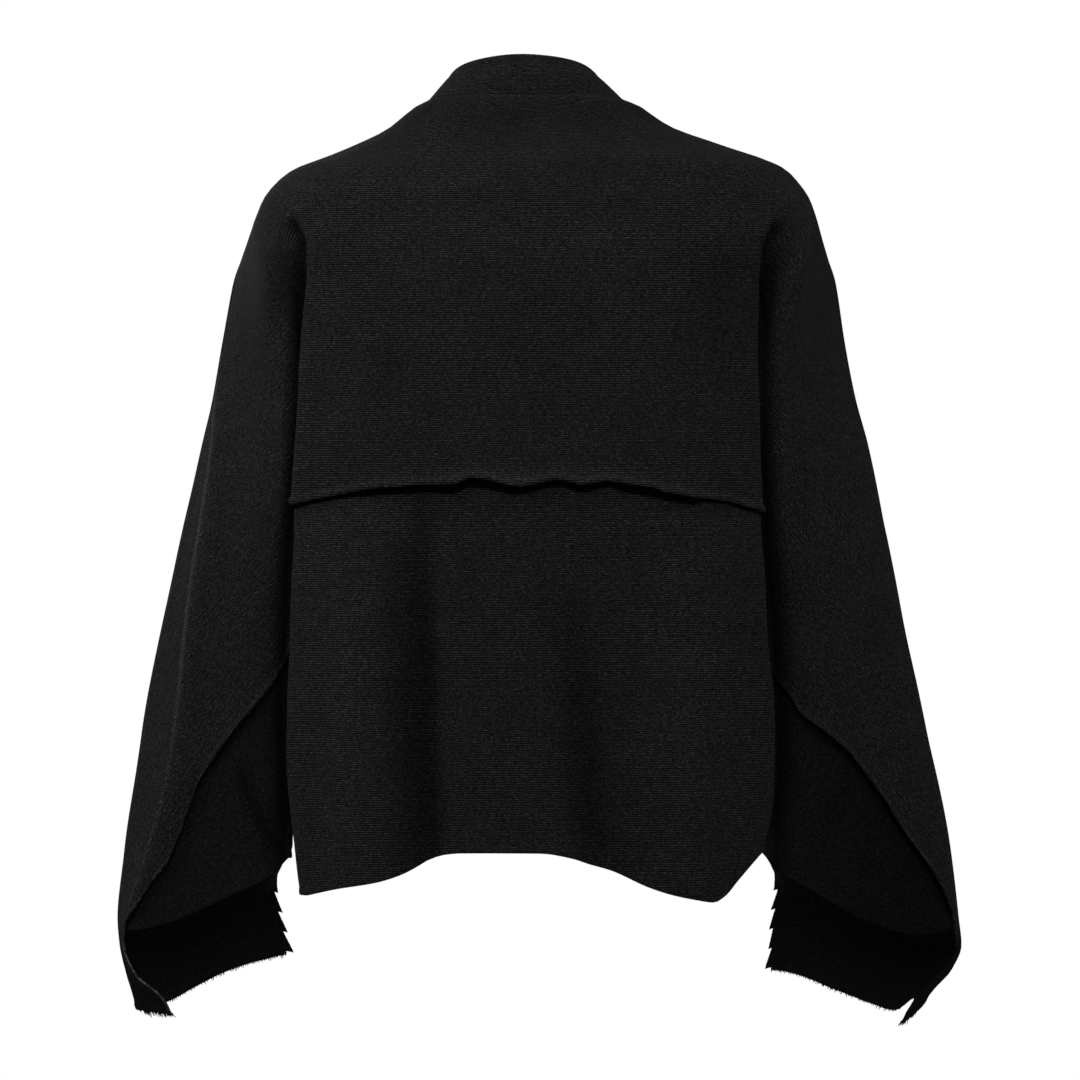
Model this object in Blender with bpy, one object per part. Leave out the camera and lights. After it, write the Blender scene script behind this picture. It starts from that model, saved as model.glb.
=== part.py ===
"""Knitted cardigan in its worn form, hollow, with nobody in it.

Wide kimono back with a free rolled lower edge, a lower back panel under it, dropped sleeves
with long open cuffs, a funnel stand collar and a plain open front.

Frame: +Z up, the front faces -Y, the wearer's left is +X.  The origin is the middle of the neck
at the height where the collar is sewn on at the back.  Sizes in the tables are millimetres.
`drop` is the distance below the origin.  `t` runs round half of a level section: 0 at the
middle of the back, 0.5 at the bottom of the armpit groove, 1 on the ridge along the top of the
arm, 1.5 at the front groove and 2 at the front edge.
"""
import bmesh
import bpy
import numpy as np

# driving sizes, millimetres
WALL = 2.0              # thickness of the knit
COLLAR_WALL = 2.2
SEAM_GAP = 0.3          # between two pieces that meet edge to edge
LAP_INSET = 2.6         # how far a lapped piece lies under the one above it
LAP = 12.0              # how far it runs up under it
COLLAR_HEIGHT = 33.6    # at the middle of the back
SHOULDER_DROP = 105.0   # below this level the sections are cut level
ARMPIT_DROP = 400.0
ARMPIT_BLEND = 16.0     # height over which sleeve and body part below the armpit
BODY_SLEEVE_GAP = 4.4
GROOVE = 0.5            # t at the groove
LIP_ARMPIT = 398.4      # drop of the rolled edge inside the armpit
LIP_DEPTH = 14.0        # height of the band that flares at the rolled edge

# one row for each level section of the body
TORSO_COLUMNS = ("drop", "spine", "fold_left", "fold_right", "fold_y", "groove", "chest", "gap")
TORSO = (
    (105, 98, 189, 193, 80, 76, 92, 12),
    (150, 106, 188, 190, 79, 68, 110, 13),
    (204, 111, 192, 187, 79, 58, 119, 14),
    (260, 114, 194, 187, 80, 46, 124, 15),
    (344, 116, 199, 190, 81, 23, 126, 17),
    (376, 115.5, 200.5, 192, 81, 13, 126, 17.5),
    (393, 115, 201.5, 193.5, 81, 6, 125, 18),
    (400, 115, 202, 194, 81, 0, 125, 18),
    (455, 114, 203.5, 197, 80, 0, 124, 19),
    (505, 113, 206, 202, 79, 0, 123, 20),
    (554, 113, 207, 203.5, 78, 0, 122, 21),
    (588, 113, 204.5, 202, 76, 0, 121, 22),
    (629, 112, 200, 194, 74, 0, 120, 22),
    (675, 111, 194, 187, 70, 0, 119, 22),
)

# one row for each level section of a sleeve: the ridge along the arm, the outermost edge,
# the steepness of the cloth behind the ridge, the inner side and the depths back and front
SLEEVE_COLUMNS = ("drop", "ridge_x", "ridge_y", "edge_x", "edge_y", "slope", "inner", "crest",
                  "front")
LEFT_SLEEVE = (
    (105, 235.5, -8, 236, -12, 80, 188, 78, 74),
    (150, 249.5, -8, 250, -12, 76, 188, 77, 70),
    (204, 259, -2, 259.5, -10, 66, 189, 72, 66),
    (254, 267, 8, 268.5, -8, 50, 190, 67, 62),
    (290, 269.5, 19, 277.5, -8, 34, 190, 64, 60),
    (360, 278.6, 32, 294, -8, 20, 191, 59, 57),
    (431, 289.5, 38, 309.5, -8, 16, 193, 56, 54),
    (501, 296, 41, 323.5, -6, 14, 196, 55, 52),
    (572, 306, 42, 335, -4, 14, 199.5, 55, 51),
    (636, 323.3, 34, 344, -4, 18, 202.5, 53, 50),
    (689, 341.5, 20, 349, -2, 34, 204, 48, 49),
    (710, 344, 13, 347, -2, 44, 204, 44, 48),
    (738, 330, 34, 341, 0, 10, 204, 44, 46),
    (752, 311, 41, 337, 2, 4, 204, 44, 44),
    (768, 301, 43, 333, 4, 4, 204, 44, 42),
)
RIGHT_SLEEVE = (
    (105, 240, -8, 240.5, -12, 80, 190, 78, 74),
    (150, 252, -8, 252.5, -12, 76, 186, 77, 70),
    (204, 260.5, -4, 261, -10, 70, 184, 72, 66),
    (254, 270, 0, 270.5, -9, 66, 184, 67, 62),
    (290, 279.5, 3, 280, -8, 64, 184, 64, 60),
    (360, 293.5, 8, 294.5, -6, 60, 184, 59, 57),
    (431, 307, 12, 308.5, -4, 56, 185, 56, 54),
    (501, 321, 15, 323, -4, 52, 187, 55, 52),
    (572, 336, 18, 338.5, -4, 50, 189, 55, 51),
    (636, 348, 20, 350.6, -2, 50, 190.6, 53, 50),
    (689, 353.5, 20, 356.6, -2, 50, 192, 48, 49),
    (712, 355, 18, 359, 0, 50, 192, 44, 48),
    (733, 343, 22, 351, 0, 40, 192, 42, 46),
    (750, 325, 26, 336, 2, 30, 192, 40, 44),
    (776, 308, 28, 319, 6, 20, 192, 38, 40),
)

# inner edge of the long cuff front, where it is open: x is given for each side
CUFF_COLUMNS = ("drop", "left", "right", "depth")
CUFF_EDGE = (
    (400, 0, 0, 0),
    (630, 0, 0, 0),
    (643, 7, 8, 14),
    (656, 13.5, 14, 32),
    (667, 15.5, 15.5, 44),
    (676, 14, 14.5, 46),
    (688, 11.5, 12.5, 46),
    (704, 7.5, 11, 46),
    (735, 4, 9.5, 44),
    (776, 4, 9.5, 42),
)

# shoulder line: half width at each drop, measured from the neck point to the level of the
# first section
SHOULDER_COLUMNS = ("drop", "left", "right")
SHOULDER = (
    (3, 87.5, 75.5), (6, 94.5, 85), (9, 99.5, 92), (19, 112, 106), (28, 123, 122), (36, 139, 144),
    (45, 160, 170), (53, 180, 196), (61, 200, 213), (70, 213, 222), (86, 227, 233),
    (105, 235.5, 240),
)

# rolled edge across the back and down the sleeves, as seen from behind: x and drop
LIP_BACK = (
    (-192, 349.5), (-174, 343), (-158, 341), (-137, 339), (-122, 335), (-104, 332.5),
    (-92, 328.5), (-77, 326), (-62, 324.5), (-51, 325), (-40, 328.5), (-30, 326.5),
    (-19, 324.5), (-5, 326), (11, 329.5), (24, 325), (38, 322.5), (51, 322), (61, 324.5),
    (72, 327.5), (99, 329.5), (132, 331), (154, 334.5), (176, 339), (199, 344),
)
LIP_LEFT_SLEEVE = (
    (190, 398.4), (197, 425), (202, 452), (206, 472), (227, 505), (248, 529.5), (270, 560),
    (278, 572.5), (283.5, 587), (288, 606), (296, 620), (304.5, 642), (318, 657), (330.5, 677),
    (341.5, 690),
)
LIP_RIGHT_SLEEVE = (
    (184, 398.4), (190, 425), (196, 455), (201.5, 486), (211.5, 498), (223.5, 517), (240.5, 529.5),
    (258, 544), (270, 556.5), (282, 573.5), (294.5, 590.5), (309.5, 615), (324, 635),
    (339.5, 658), (348, 676), (353.5, 690),
)

# hems, as seen from behind: x and drop
HEM_BACK = (
    (-193, 631), (-189, 635), (-180, 646.5), (-172, 657), (-165, 666.5), (-155, 672.5),
    (-138, 670), (-117, 665.5), (-98, 659.5), (-86, 654.5), (-75, 649.5), (-63, 644.5),
    (-48, 640), (-33, 635.2), (-6, 631), (35, 630.8), (60, 631), (73, 632.2), (83, 635),
    (97, 643.2), (111, 649.5), (131, 655.5), (166, 661.5), (192, 667.5),
)
HEM_UNDER_LEFT = (
    (200, 637), (204, 640.5), (208.5, 645), (221, 654), (246, 665.5), (265, 674.5),
    (292, 687), (314, 695), (326, 698), (341, 700),
)
HEM_UNDER_RIGHT = (
    (188, 632.5), (194, 637), (207, 649), (231, 663), (253, 676), (277, 688.5), (305, 699.5),
    (325, 702), (340, 700), (354, 696),
)
HEM_CUFF_LEFT = (
    (203, 719.5), (221, 725.5), (238, 730), (257.5, 736.5), (286.5, 750.5), (305, 760.5),
    (320, 765), (334, 765.5),
)
HEM_CUFF_RIGHT = (
    (196, 734.5), (212, 737), (232.5, 743), (250, 750.5), (267, 757), (287, 764.5), (304, 769),
    (311, 767), (320, 758),
)
CUFF_FLAP_HEM = {1: 768.0, -1: 775.5}
FRONT_HEM = ((1.5, 640.0), (1.62, 634.0), (1.75, 618.0), (1.88, 606.0), (2.0, 602.0))

# soft vertical troughs in the lower back: drop, x, depth; and their half width
TROUGH_LEFT = ((330, 86, 0), (400, 90, 2.5), (505, 92, 6), (600, 86, 7), (655, 80, 5))
TROUGH_RIGHT = ((380, -42, 0), (450, -38, 1.5), (540, -40, 4), (620, -54, 4.5), (655, -58, 3))
TROUGH_WIDTH = 21.0

# how far the rolled edge stands off, as x and millimetres
LIP_FLARE = (
    (-195, 1.2), (-150, 3), (-110, 5), (-92, 7.5), (-77, 5), (-62, 5.5), (-40, 8.5), (-19, 5.5),
    (11, 9), (38, 5), (60, 7.5), (90, 6.5), (130, 4), (170, 2), (200, 1.2),
)
SLEEVE_FLARE = 1.6

# levels of the mesh rows down the ridge; both pieces that meet there share them
RIDGE_ROWS = (3, 8, 17, 28, 38, 49, 62, 80, 105, 138, 190, 250, 310, 356, 384, 400, 414, 466,
              530, 590, 626, 643, 657, 672, 690)
CUFF_ROWS = (706, 722, 738, 753)

# hooked yarn ends on the inner edge of each long cuff front
TUFT_COUNT = 4
TUFT_ROOT = 1.6         # width of the strip they grow from
TUFT_LENGTH = 6.6
TUFT_HOOK = 2.0         # how far each tip hangs below its root
TUFT_SHARES = (0.0, 0.3, 0.6, 0.85, 0.96)
TUFT_TOP = {1: 670.0, -1: 673.0}

BLACK_KNIT = (0.0085, 0.0085, 0.0088, 1.0)
ROUGHNESS = 0.94


def smooth(rows, x, column=1):
    """A smooth value from a table at x, never past its rows (monotone cubic)."""
    table = np.asarray(rows, float)
    xs, ys = table[:, 0], table[:, column]
    step = np.diff(xs)
    slope = np.diff(ys) / step
    tangent = np.zeros_like(ys)
    tangent[0], tangent[-1] = slope[0], slope[-1]
    same = slope[:-1] * slope[1:] > 0
    both = np.where(same, slope[:-1] * slope[1:] * 2, 0.0)
    total = np.where(same, slope[:-1] + slope[1:], 1.0)
    tangent[1:-1] = both / total
    x = np.clip(np.asarray(x, float), xs[0], xs[-1])
    k = np.clip(np.searchsorted(xs, x, side="right") - 1, 0, len(step) - 1)
    h = step[k]
    u = (x - xs[k]) / h
    a = (1 + 2 * u) * (1 - u) ** 2
    b = u * (1 - u) ** 2
    c = u * u * (3 - 2 * u)
    e = u * u * (u - 1)
    return a * ys[k] + b * h * tangent[k] + c * ys[k + 1] + e * h * tangent[k + 1]


def column(columns, rows, name, drop):
    """One named column of a section table at the given drops."""
    return smooth(rows, drop, columns.index(name))


def ease(low, high, x):
    """0 below low, 1 above high, smooth between."""
    u = np.clip((np.asarray(x, float) - low) / (high - low), 0.0, 1.0)
    return u * u * (3 - 2 * u)


def spline(points, u):
    """Uniform cubic B-spline that starts and ends on its first and last control points.

    points is (samples, controls, 2) and u is 0 to 1 for each sample."""
    first = 2 * points[:, :1] - points[:, 1:2]
    last = 2 * points[:, -1:] - points[:, -2:-1]
    points = np.concatenate([first, points, last], axis=1)
    spans = points.shape[1] - 3
    s = np.clip(u, -0.05, 1.05) * spans
    k = np.clip(np.floor(s).astype(int), 0, spans - 1)
    f = s - k
    weights = ((1 - f) ** 3, 3 * f**3 - 6 * f**2 + 4, -3 * f**3 + 3 * f**2 + 3 * f + 1, f**3)
    rows = np.arange(len(k))
    return sum(w[:, None] * points[rows, k + i] for i, w in enumerate(weights)) / 6


def stack(pairs, count):
    """Control points from (x, y) pairs that are arrays or single values."""
    return np.stack([np.stack([np.broadcast_to(np.asarray(v, float), (count,)) for v in pair],
                              axis=1) for pair in pairs], axis=1)


def oval(half_width, centre, depth, shares, power):
    """Points on a plain rounded section, at shares 0 to 1 of its quarter turn."""
    pairs = []
    for share in shares:
        angle = share * np.pi / 2
        pairs.append((half_width * np.sin(angle) ** (2 / power),
                      centre + depth * np.cos(angle) ** (2 / power)))
    return pairs


def body_numbers(side, drop):
    """The named values of the body's section and of the slot between body and sleeve."""
    fold_name = "fold_left" if side > 0 else "fold_right"
    sleeve = LEFT_SLEEVE if side > 0 else RIGHT_SLEEVE
    fold_x = column(TORSO_COLUMNS, TORSO, fold_name, drop)
    fold_y = column(TORSO_COLUMNS, TORSO, "fold_y", drop)
    groove = column(TORSO_COLUMNS, TORSO, "groove", drop)
    inner = column(SLEEVE_COLUMNS, sleeve, "inner", drop)
    deep = fold_y - groove
    closed = ease(5.0, 32.0, deep)
    wall_x = fold_x + 6.0 * (1 - closed) - np.minimum(14.0, 0.45 * deep) * closed
    limit = inner - BODY_SLEEVE_GAP + 14.0 * ease(400.0, 290.0, drop)
    wall_x = np.minimum(wall_x, limit)
    wall_x = np.where(drop > ARMPIT_DROP, np.minimum(wall_x, fold_x - 4), wall_x)
    parted = ease(ARMPIT_DROP, ARMPIT_DROP + ARMPIT_BLEND, drop)
    half = BODY_SLEEVE_GAP / 2 + 3.5 * (1 - closed)
    return fold_x, fold_y, groove, inner, deep, closed, wall_x, parted, half


def torso_controls(side, drop, back):
    """Control points of a quarter of the body: middle of the back, or front edge, to the groove."""
    n = len(drop)
    fold_x, fold_y, groove, inner, deep, closed, wall_x, parted, half = body_numbers(side, drop)
    sleeve = LEFT_SLEEVE if side > 0 else RIGHT_SLEEVE
    ridge_x = column(SLEEVE_COLUMNS, sleeve, "ridge_x", drop)
    ridge_y = column(SLEEVE_COLUMNS, sleeve, "ridge_y", drop)
    if back:
        start, middle = 0.0, column(TORSO_COLUMNS, TORSO, "spine", drop)
        centre, depth = ridge_y, middle - ridge_y
    else:
        start, middle = column(TORSO_COLUMNS, TORSO, "gap", drop), column(
            TORSO_COLUMNS, TORSO, "chest", drop)
        fold_x = fold_x - 3.0
        centre, depth = -ridge_y, middle + ridge_y
    fall = middle - fold_y
    c = np.minimum(4.0, 0.2 * deep)
    grooved = stack([
        (start, middle),
        (start + 0.27 * (fold_x - start), middle - 0.03 * fall),
        (start + 0.54 * (fold_x - start), middle - 0.14 * fall),
        (start + 0.79 * (fold_x - start), middle - 0.42 * fall),
        (start + 0.94 * (fold_x - start), middle - 0.78 * fall),
        (fold_x + 0.6, fold_y + 1.0),
        (fold_x + 1.2, fold_y - np.minimum(6.0, 0.25 * deep)),
        (fold_x + 3.0 * (1 - closed) - np.minimum(5.0, 0.3 * deep) * closed,
         fold_y - np.minimum(15.0, 0.55 * deep)),
        (wall_x, groove + 0.42 * (deep - np.minimum(15.0, 0.55 * deep))),
        (wall_x, groove + c),
        (wall_x + half * (1 - parted), groove + 0 * c),
    ], n)
    shares = (0.0, 0.155, 0.30, 0.405, 0.475, 0.512, 0.53, 0.545, 0.558, 0.571, 0.584)
    plain = stack(oval(ridge_x, centre, depth, shares, 3.3), n)
    plain[:, 0, 0] = start
    if not back:
        plain[:, 1:, 0] = start[:, None] + plain[:, 1:, 0] * ((ridge_x - start) / ridge_x)[:, None]
    q = ease(SHOULDER_DROP, 158.0, drop)[:, None, None]
    points = plain * (1 - q) + grooved * q
    if not back:
        points[:, :, 1] *= -1
    return points


def sleeve_controls(side, drop):
    """Control points of a sleeve from the back groove over the ridge to the front groove."""
    n = len(drop)
    fold_x, fold_y, groove, inner, deep, closed, wall_x, parted, half = body_numbers(side, drop)
    sleeve = LEFT_SLEEVE if side > 0 else RIGHT_SLEEVE
    ridge_x, ridge_y, edge_x, edge_y, slope, crest, front = (
        column(SLEEVE_COLUMNS, sleeve, name, drop)
        for name in ("ridge_x", "ridge_y", "edge_x", "edge_y", "slope", "crest", "front"))
    inset = column(CUFF_COLUMNS, CUFF_EDGE, "left" if side > 0 else "right", drop)
    cuff_y = -column(CUFF_COLUMNS, CUFF_EDGE, "depth", drop)
    slope = np.radians(slope)
    start_x = wall_x + half * (1 - parted) + (inner - wall_x) * parted
    wall_out = wall_x + 2 * half + (inner - wall_x - 2 * half) * parted
    rise = crest - groove
    width = ridge_x - wall_out
    c = np.minimum(4.0, 0.2 * deep)
    before = (ridge_x - 17 * np.cos(slope), ridge_y + 17 * np.sin(slope))
    after = (ridge_x + 0.5 * (edge_x - ridge_x), ridge_y + 0.5 * (edge_y - ridge_y))
    crest_x = wall_out + (0.46 - 0.06 * closed) * width
    high = (crest_x, crest)
    between = (0.45 * high[0] + 0.55 * before[0],
               0.38 * high[1] + 0.62 * before[1] + 3.0 * np.sin(slope))
    corner = (edge_x - 13, edge_y - 0.62 * (front + edge_y))
    ridge = ((6 * ridge_x - before[0] - after[0]) / 4, (6 * ridge_y - before[1] - after[1]) / 4)
    edge = ((6 * edge_x - after[0] - corner[0]) / 4, edge_y)
    front_groove = np.minimum(-groove, cuff_y)
    open_cuff = ease(630.0, 650.0, drop)
    in_x = start_x + inset
    front_wall = wall_out + inset
    front_rise = front + front_groove
    grooved = stack([
        (start_x, groove),
        (wall_out, groove + c * np.sign(rise)),
        (wall_out + 0.5 + 0.10 * width * (1 - closed), groove + 0.45 * rise),
        (wall_out + (0.20 - 0.15 * closed) * width, groove + 0.84 * rise),
        (wall_out + (0.32 - 0.13 * closed) * width, crest + 0.3),
        high,
        between,
        before,
        ridge,
        after,
        edge,
        corner,
        (edge_x - 0.34 * (edge_x - front_wall), -front),
        (front_wall + 0.32 * (edge_x - front_wall), -front - 0.5),
        (front_wall + (0.16 - 0.08 * closed) * (edge_x - front_wall) + 5 * open_cuff,
         front_groove - 0.8 * front_rise),
        (front_wall + 3 * open_cuff, front_groove - c * (1 - open_cuff)),
        (in_x, front_groove),
    ], n)
    back_shares = (0.584, 0.597, 0.612, 0.635, 0.67, 0.72, 0.79, 0.88, 1.0)
    front_shares = (0.93, 0.86, 0.79, 0.72, 0.67, 0.635, 0.605, 0.584)
    spine = column(TORSO_COLUMNS, TORSO, "spine", drop)
    chest = column(TORSO_COLUMNS, TORSO, "chest", drop)
    gap = column(TORSO_COLUMNS, TORSO, "gap", drop)
    rear = stack(oval(ridge_x, ridge_y, spine - ridge_y, back_shares, 3.3), n)
    fore = stack(oval(ridge_x, -ridge_y, chest + ridge_y, front_shares, 3.3), n)
    fore[:, :, 0] = gap[:, None] + fore[:, :, 0] * ((ridge_x - gap) / ridge_x)[:, None]
    fore[:, :, 1] *= -1
    plain = np.concatenate([rear, fore], axis=1)
    q = ease(SHOULDER_DROP, 158.0, drop)[:, None, None]
    return plain * (1 - q) + grooved * q


def level_section(side, t, drop, of_sleeve):
    """Points (x, y) of the level sections; x is positive away from the middle."""
    if of_sleeve:
        return spline(sleeve_controls(side, drop), t - GROOVE)
    back = spline(torso_controls(side, drop, True), t / GROOVE)
    front = spline(torso_controls(side, drop, False), (2 - t) / GROOVE)
    return np.where((t <= 1)[:, None], back, front)


def neck_top(t):
    """Drop of the neck seam at t."""
    return 3 * ease(0.3, 1.0, t) + 67 * ease(1.0, 2.05, t) ** 1.2


def neck_ring(side, t):
    """The neck seam from above: x away from the middle, and y."""
    wide = SHOULDER[0][1 if side > 0 else 2]
    angle = np.radians(np.interp(t, (0, 0.5, 1.0, 1.5, 2.0), (0, 62, 90, 120, 171)))
    depth = np.where(t <= 1, 52.0, 62.0)
    return np.stack([wide * np.sin(angle), depth * np.cos(angle)], axis=1)


def surface(side, t, drop, of_sleeve=None):
    """The outer face of the whole garment at (t, drop), in millimetres.

    of_sleeve is needed below the armpit, where body and sleeve part at the groove."""
    t, drop = (np.atleast_1d(np.asarray(v, float)) for v in np.broadcast_arrays(t, drop))
    if of_sleeve is None:
        of_sleeve = (t >= GROOVE) & (t <= 2 - GROOVE)
    of_sleeve = np.broadcast_to(of_sleeve, t.shape)
    level = np.maximum(drop, SHOULDER_DROP)
    xy = np.where(of_sleeve[:, None], level_section(side, t, level, True),
                  level_section(side, t, level, False))
    name = "left" if side > 0 else "right"
    ring = neck_ring(side, t)
    top = neck_top(t)
    w = (drop - top) / (SHOULDER_DROP - top)
    line = column(SHOULDER_COLUMNS, SHOULDER, name, 3 + np.clip(w, 0, 1) * (SHOULDER_DROP - 3))
    start, end = SHOULDER[0][1 if side > 0 else 2], SHOULDER[-1][1 if side > 0 else 2]
    spread = (line - start) / (end - start) + np.minimum(w, 0) * 2.0
    capped = ring + (xy - ring) * spread[:, None]
    xy = np.where((drop < SHOULDER_DROP)[:, None], capped, xy)
    x = xy[:, 0] * side
    on_back = (t < GROOVE) & ~of_sleeve
    for rows in (TROUGH_LEFT, TROUGH_RIGHT):
        off = (x - smooth(rows, drop, 1)) / TROUGH_WIDTH
        depth = smooth(rows, drop, 2) * np.exp(-off * off)
        xy[:, 1] = xy[:, 1] - np.where(on_back, depth, 0.0)
    return np.stack([x, xy[:, 1], -drop], axis=1)


def outward(side, t, drop, of_sleeve=None):
    """Unit normals that point out of the garment."""
    t, drop = (np.atleast_1d(np.asarray(v, float)) for v in np.broadcast_arrays(t, drop))
    if of_sleeve is None:
        sleeve = one_side_normals(side, t, drop, True)
        body = one_side_normals(side, t, drop, False)
        share = (t >= GROOVE) & (t <= 2 - GROOVE)
        share = np.where(np.isclose(t, GROOVE) | np.isclose(t, 2 - GROOVE), 0.5, share)[:, None]
        normal = sleeve * share + body * (1 - share)
    else:
        normal = one_side_normals(side, t, drop, of_sleeve)
    off = np.minimum(np.abs(t - GROOVE), np.abs(t - (2 - GROOVE)))
    level = ease(0.05, 0.01, off) * ease(ARMPIT_DROP, ARMPIT_DROP + 4, drop) * (drop < 630)
    normal[:, 1] *= 1 - level
    saddle = ease(0.02, 0.0, off) * ease(382, 398, drop) * (drop < ARMPIT_DROP + 0.01)
    normal[:, 1] *= 1 - saddle
    normal[:, 2] -= saddle
    return normal / np.linalg.norm(normal, axis=1)[:, None]


def one_side_normals(side, t, drop, of_sleeve):
    """Normals of either the sleeve's or the body's own surface."""
    dt, dd = 0.004, 0.8
    across = surface(side, t + dt, drop, of_sleeve) - surface(side, t - dt, drop, of_sleeve)
    down = surface(side, t, drop + dd, of_sleeve) - surface(side, t, drop - dd, of_sleeve)
    normal = np.cross(across, down) * side
    return normal / np.maximum(np.linalg.norm(normal, axis=1), 1e-9)[:, None]


def meet(side, t, line, low, high):
    """Drop at which the sleeve's line t crosses a line given as x and drop from behind."""
    low, high = np.full(len(t), float(low)), np.full(len(t), float(high))
    for _ in range(34):
        middle = (low + high) / 2
        x = np.abs(surface(side, t, middle, True)[:, 0])
        above = middle < smooth(line, x)
        low, high = np.where(above, middle, low), np.where(above, high, middle)
    return (low + high) / 2


def lip_drop(side, t):
    """Drop of the rolled edge of the upper back at t."""
    knots = np.array([0.0, 0.05, 0.1, 0.15, 0.2, 0.25, 0.3, 0.35, 0.4, 0.5, 0.53, 0.56, 0.6, 0.64,
                      0.68, 0.72, 0.76, 0.8, 0.84, 0.88, 0.92, 0.96, 1.0])
    sleeve_line = LIP_LEFT_SLEEVE if side > 0 else LIP_RIGHT_SLEEVE
    t = np.asarray(t, float)
    x = surface(side, np.minimum(t, 0.36), 335.0, False)[:, 0]
    body = smooth(LIP_BACK, x)
    edge = smooth(LIP_BACK, side * 196.0)
    body = body + (LIP_ARMPIT - edge) * ease(0.33, GROOVE, t)
    arm_knots = knots[knots >= 0.56]
    arm = meet(side, arm_knots, sleeve_line, LIP_ARMPIT, 690.0)
    rows = [(GROOVE, LIP_ARMPIT)] + list(zip(arm_knots, arm))
    rows[-1] = (1.0, 690.0)
    return np.where(t < GROOVE, body, smooth(rows, t))


def hem_drop(side, t):
    """Drop of the hem of the under sleeve at t."""
    line = HEM_UNDER_LEFT if side > 0 else HEM_UNDER_RIGHT
    return meet(side, np.atleast_1d(t), line, 630.0, 704.0)


def cuff_drop(side, t):
    """Drop of the hem of the long front of the cuff at t (1 at the ridge, 1.5 at its inner edge)."""
    t = np.atleast_1d(np.asarray(t, float))
    line = HEM_CUFF_LEFT if side > 0 else HEM_CUFF_RIGHT
    low, high = np.full(len(t), 700.0), np.full(len(t), 776.0)
    for _ in range(30):
        middle = (low + high) / 2
        above = middle < smooth(line, np.abs(surface(side, t, middle, True)[:, 0]))
        low, high = np.where(above, middle, low), np.where(above, high, middle)
    flap = ease(1.17, 1.0, t)
    return (low + high) / 2 * (1 - flap) + CUFF_FLAP_HEM[side] * flap


class Cloth:
    """A wall of even thickness, built from grids that share their edges."""

    def __init__(self, name, wall=WALL, colour=BLACK_KNIT):
        self.name, self.wall, self.colour = name, wall, colour
        self.mesh = bmesh.new()
        self.into = self.mesh.verts.layers.float_vector.new("into")

    def grid(self, columns, rows, place, flip=False):
        """Adds a grid; place(column, row) gives its points and unit normals."""
        made = bmesh.ops.create_grid(self.mesh, x_segments=columns, y_segments=rows, size=1.0)
        verts = made["verts"]
        i = np.array([round((v.co.x + 1) / 2 * columns) for v in verts])
        j = np.array([round((v.co.y + 1) / 2 * rows) for v in verts])
        points, normals = place(i, j)
        for vert, point, normal in zip(verts, points, normals):
            vert.co = [float(c) * 0.001 for c in point]
            vert[self.into] = [float(-c) * self.wall * 0.001 for c in normal]
        if flip:
            faces = list({face for vert in verts for face in vert.link_faces})
            bmesh.ops.reverse_faces(self.mesh, faces=faces)

    def finish(self, collection):
        """Merges the grids, adds the inner face and the rim, and makes the object."""
        mesh = self.mesh
        bmesh.ops.remove_doubles(mesh, verts=mesh.verts[:], dist=0.00001)
        bmesh.ops.triangulate(mesh, faces=mesh.faces[:])
        outer_faces = mesh.faces[:]
        rim = [(edge, edge.link_loops[0]) for edge in mesh.edges if edge.is_boundary]
        rim = [(loop.vert, loop.link_loop_next.vert) for _, loop in rim]
        inner = {vert: mesh.verts.new(vert.co + vert[self.into]) for vert in mesh.verts[:]}
        for face in outer_faces:
            mesh.faces.new([inner[vert] for vert in reversed(face.verts)])
        for a, b in rim:
            mesh.faces.new([b, a, inner[a], inner[b]])
        bmesh.ops.triangulate(mesh, faces=mesh.faces[:])
        data = bpy.data.meshes.new(self.name)
        mesh.to_mesh(data)
        mesh.free()
        data.shade_smooth()
        data.set_sharp_from_angle(angle=0.9)
        data.materials.append(knit(self.name, self.colour))
        thing = bpy.data.objects.new(self.name, data)
        collection.objects.link(thing)
        return thing


def knit(name, colour):
    """Matt black knit."""
    material = bpy.data.materials.new(name + "_knit")
    material.use_nodes = True
    shader = material.node_tree.nodes["Principled BSDF"]
    shader.inputs["Base Color"].default_value = colour
    shader.inputs["Roughness"].default_value = ROUGHNESS
    shader.inputs["Metallic"].default_value = 0.0
    return material


def both_sides(a, drop, inset=0.0, of_sleeve=None):
    """Points and normals for a, which runs from the right side (-) to the left side (+)."""
    points, normals = np.zeros((len(a), 3)), np.zeros((len(a), 3))
    for side in (1, -1):
        mask = (a >= 0) if side > 0 else (a < 0)
        if not mask.any():
            continue
        flag = of_sleeve
        points[mask] = surface(side, np.abs(a[mask]), drop[mask], flag)
        normals[mask] = outward(side, np.abs(a[mask]), drop[mask], flag)
    return points - normals * np.broadcast_to(inset, (len(a),))[:, None], normals


def stations(parts):
    """Mesh columns: joins (start, end, count) runs into one list."""
    values = [parts[0][0]]
    for start, end, count in parts:
        values += [start + (end - start) * (k + 1) / count for k in range(count)]
    return np.array(values)


BACK_T = stations(((0.0, 0.24, 7), (0.24, 0.34, 3), (0.34, 0.5, 5), (0.5, 0.66, 4),
                   (0.66, 0.88, 4), (0.88, 1.0, 3)))
FRONT_SLEEVE_T = stations(((1.0, 1.14, 4), (1.14, 1.38, 4), (1.38, 1.5, 3)))
FRONT_BODY_T = stations(((1.5, 1.66, 4), (1.66, 1.78, 3), (1.78, 2.0, 4)))
EDGE_STEP = SEAM_GAP / 2


def seam_step(points, side, t, drop, seam_t, inward, of_sleeve=None):
    """Moves the points at a seam back from it by half the seam's gap."""
    at_seam = np.isclose(t, seam_t)
    if at_seam.any():
        here = points[at_seam]
        there = surface(side, t[at_seam] + 0.01 * inward, drop[at_seam], of_sleeve)
        step = there - surface(side, t[at_seam], drop[at_seam], of_sleeve)
        step = step / np.linalg.norm(step, axis=1)[:, None]
        points[at_seam] = here + step * EDGE_STEP
    return points


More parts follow.
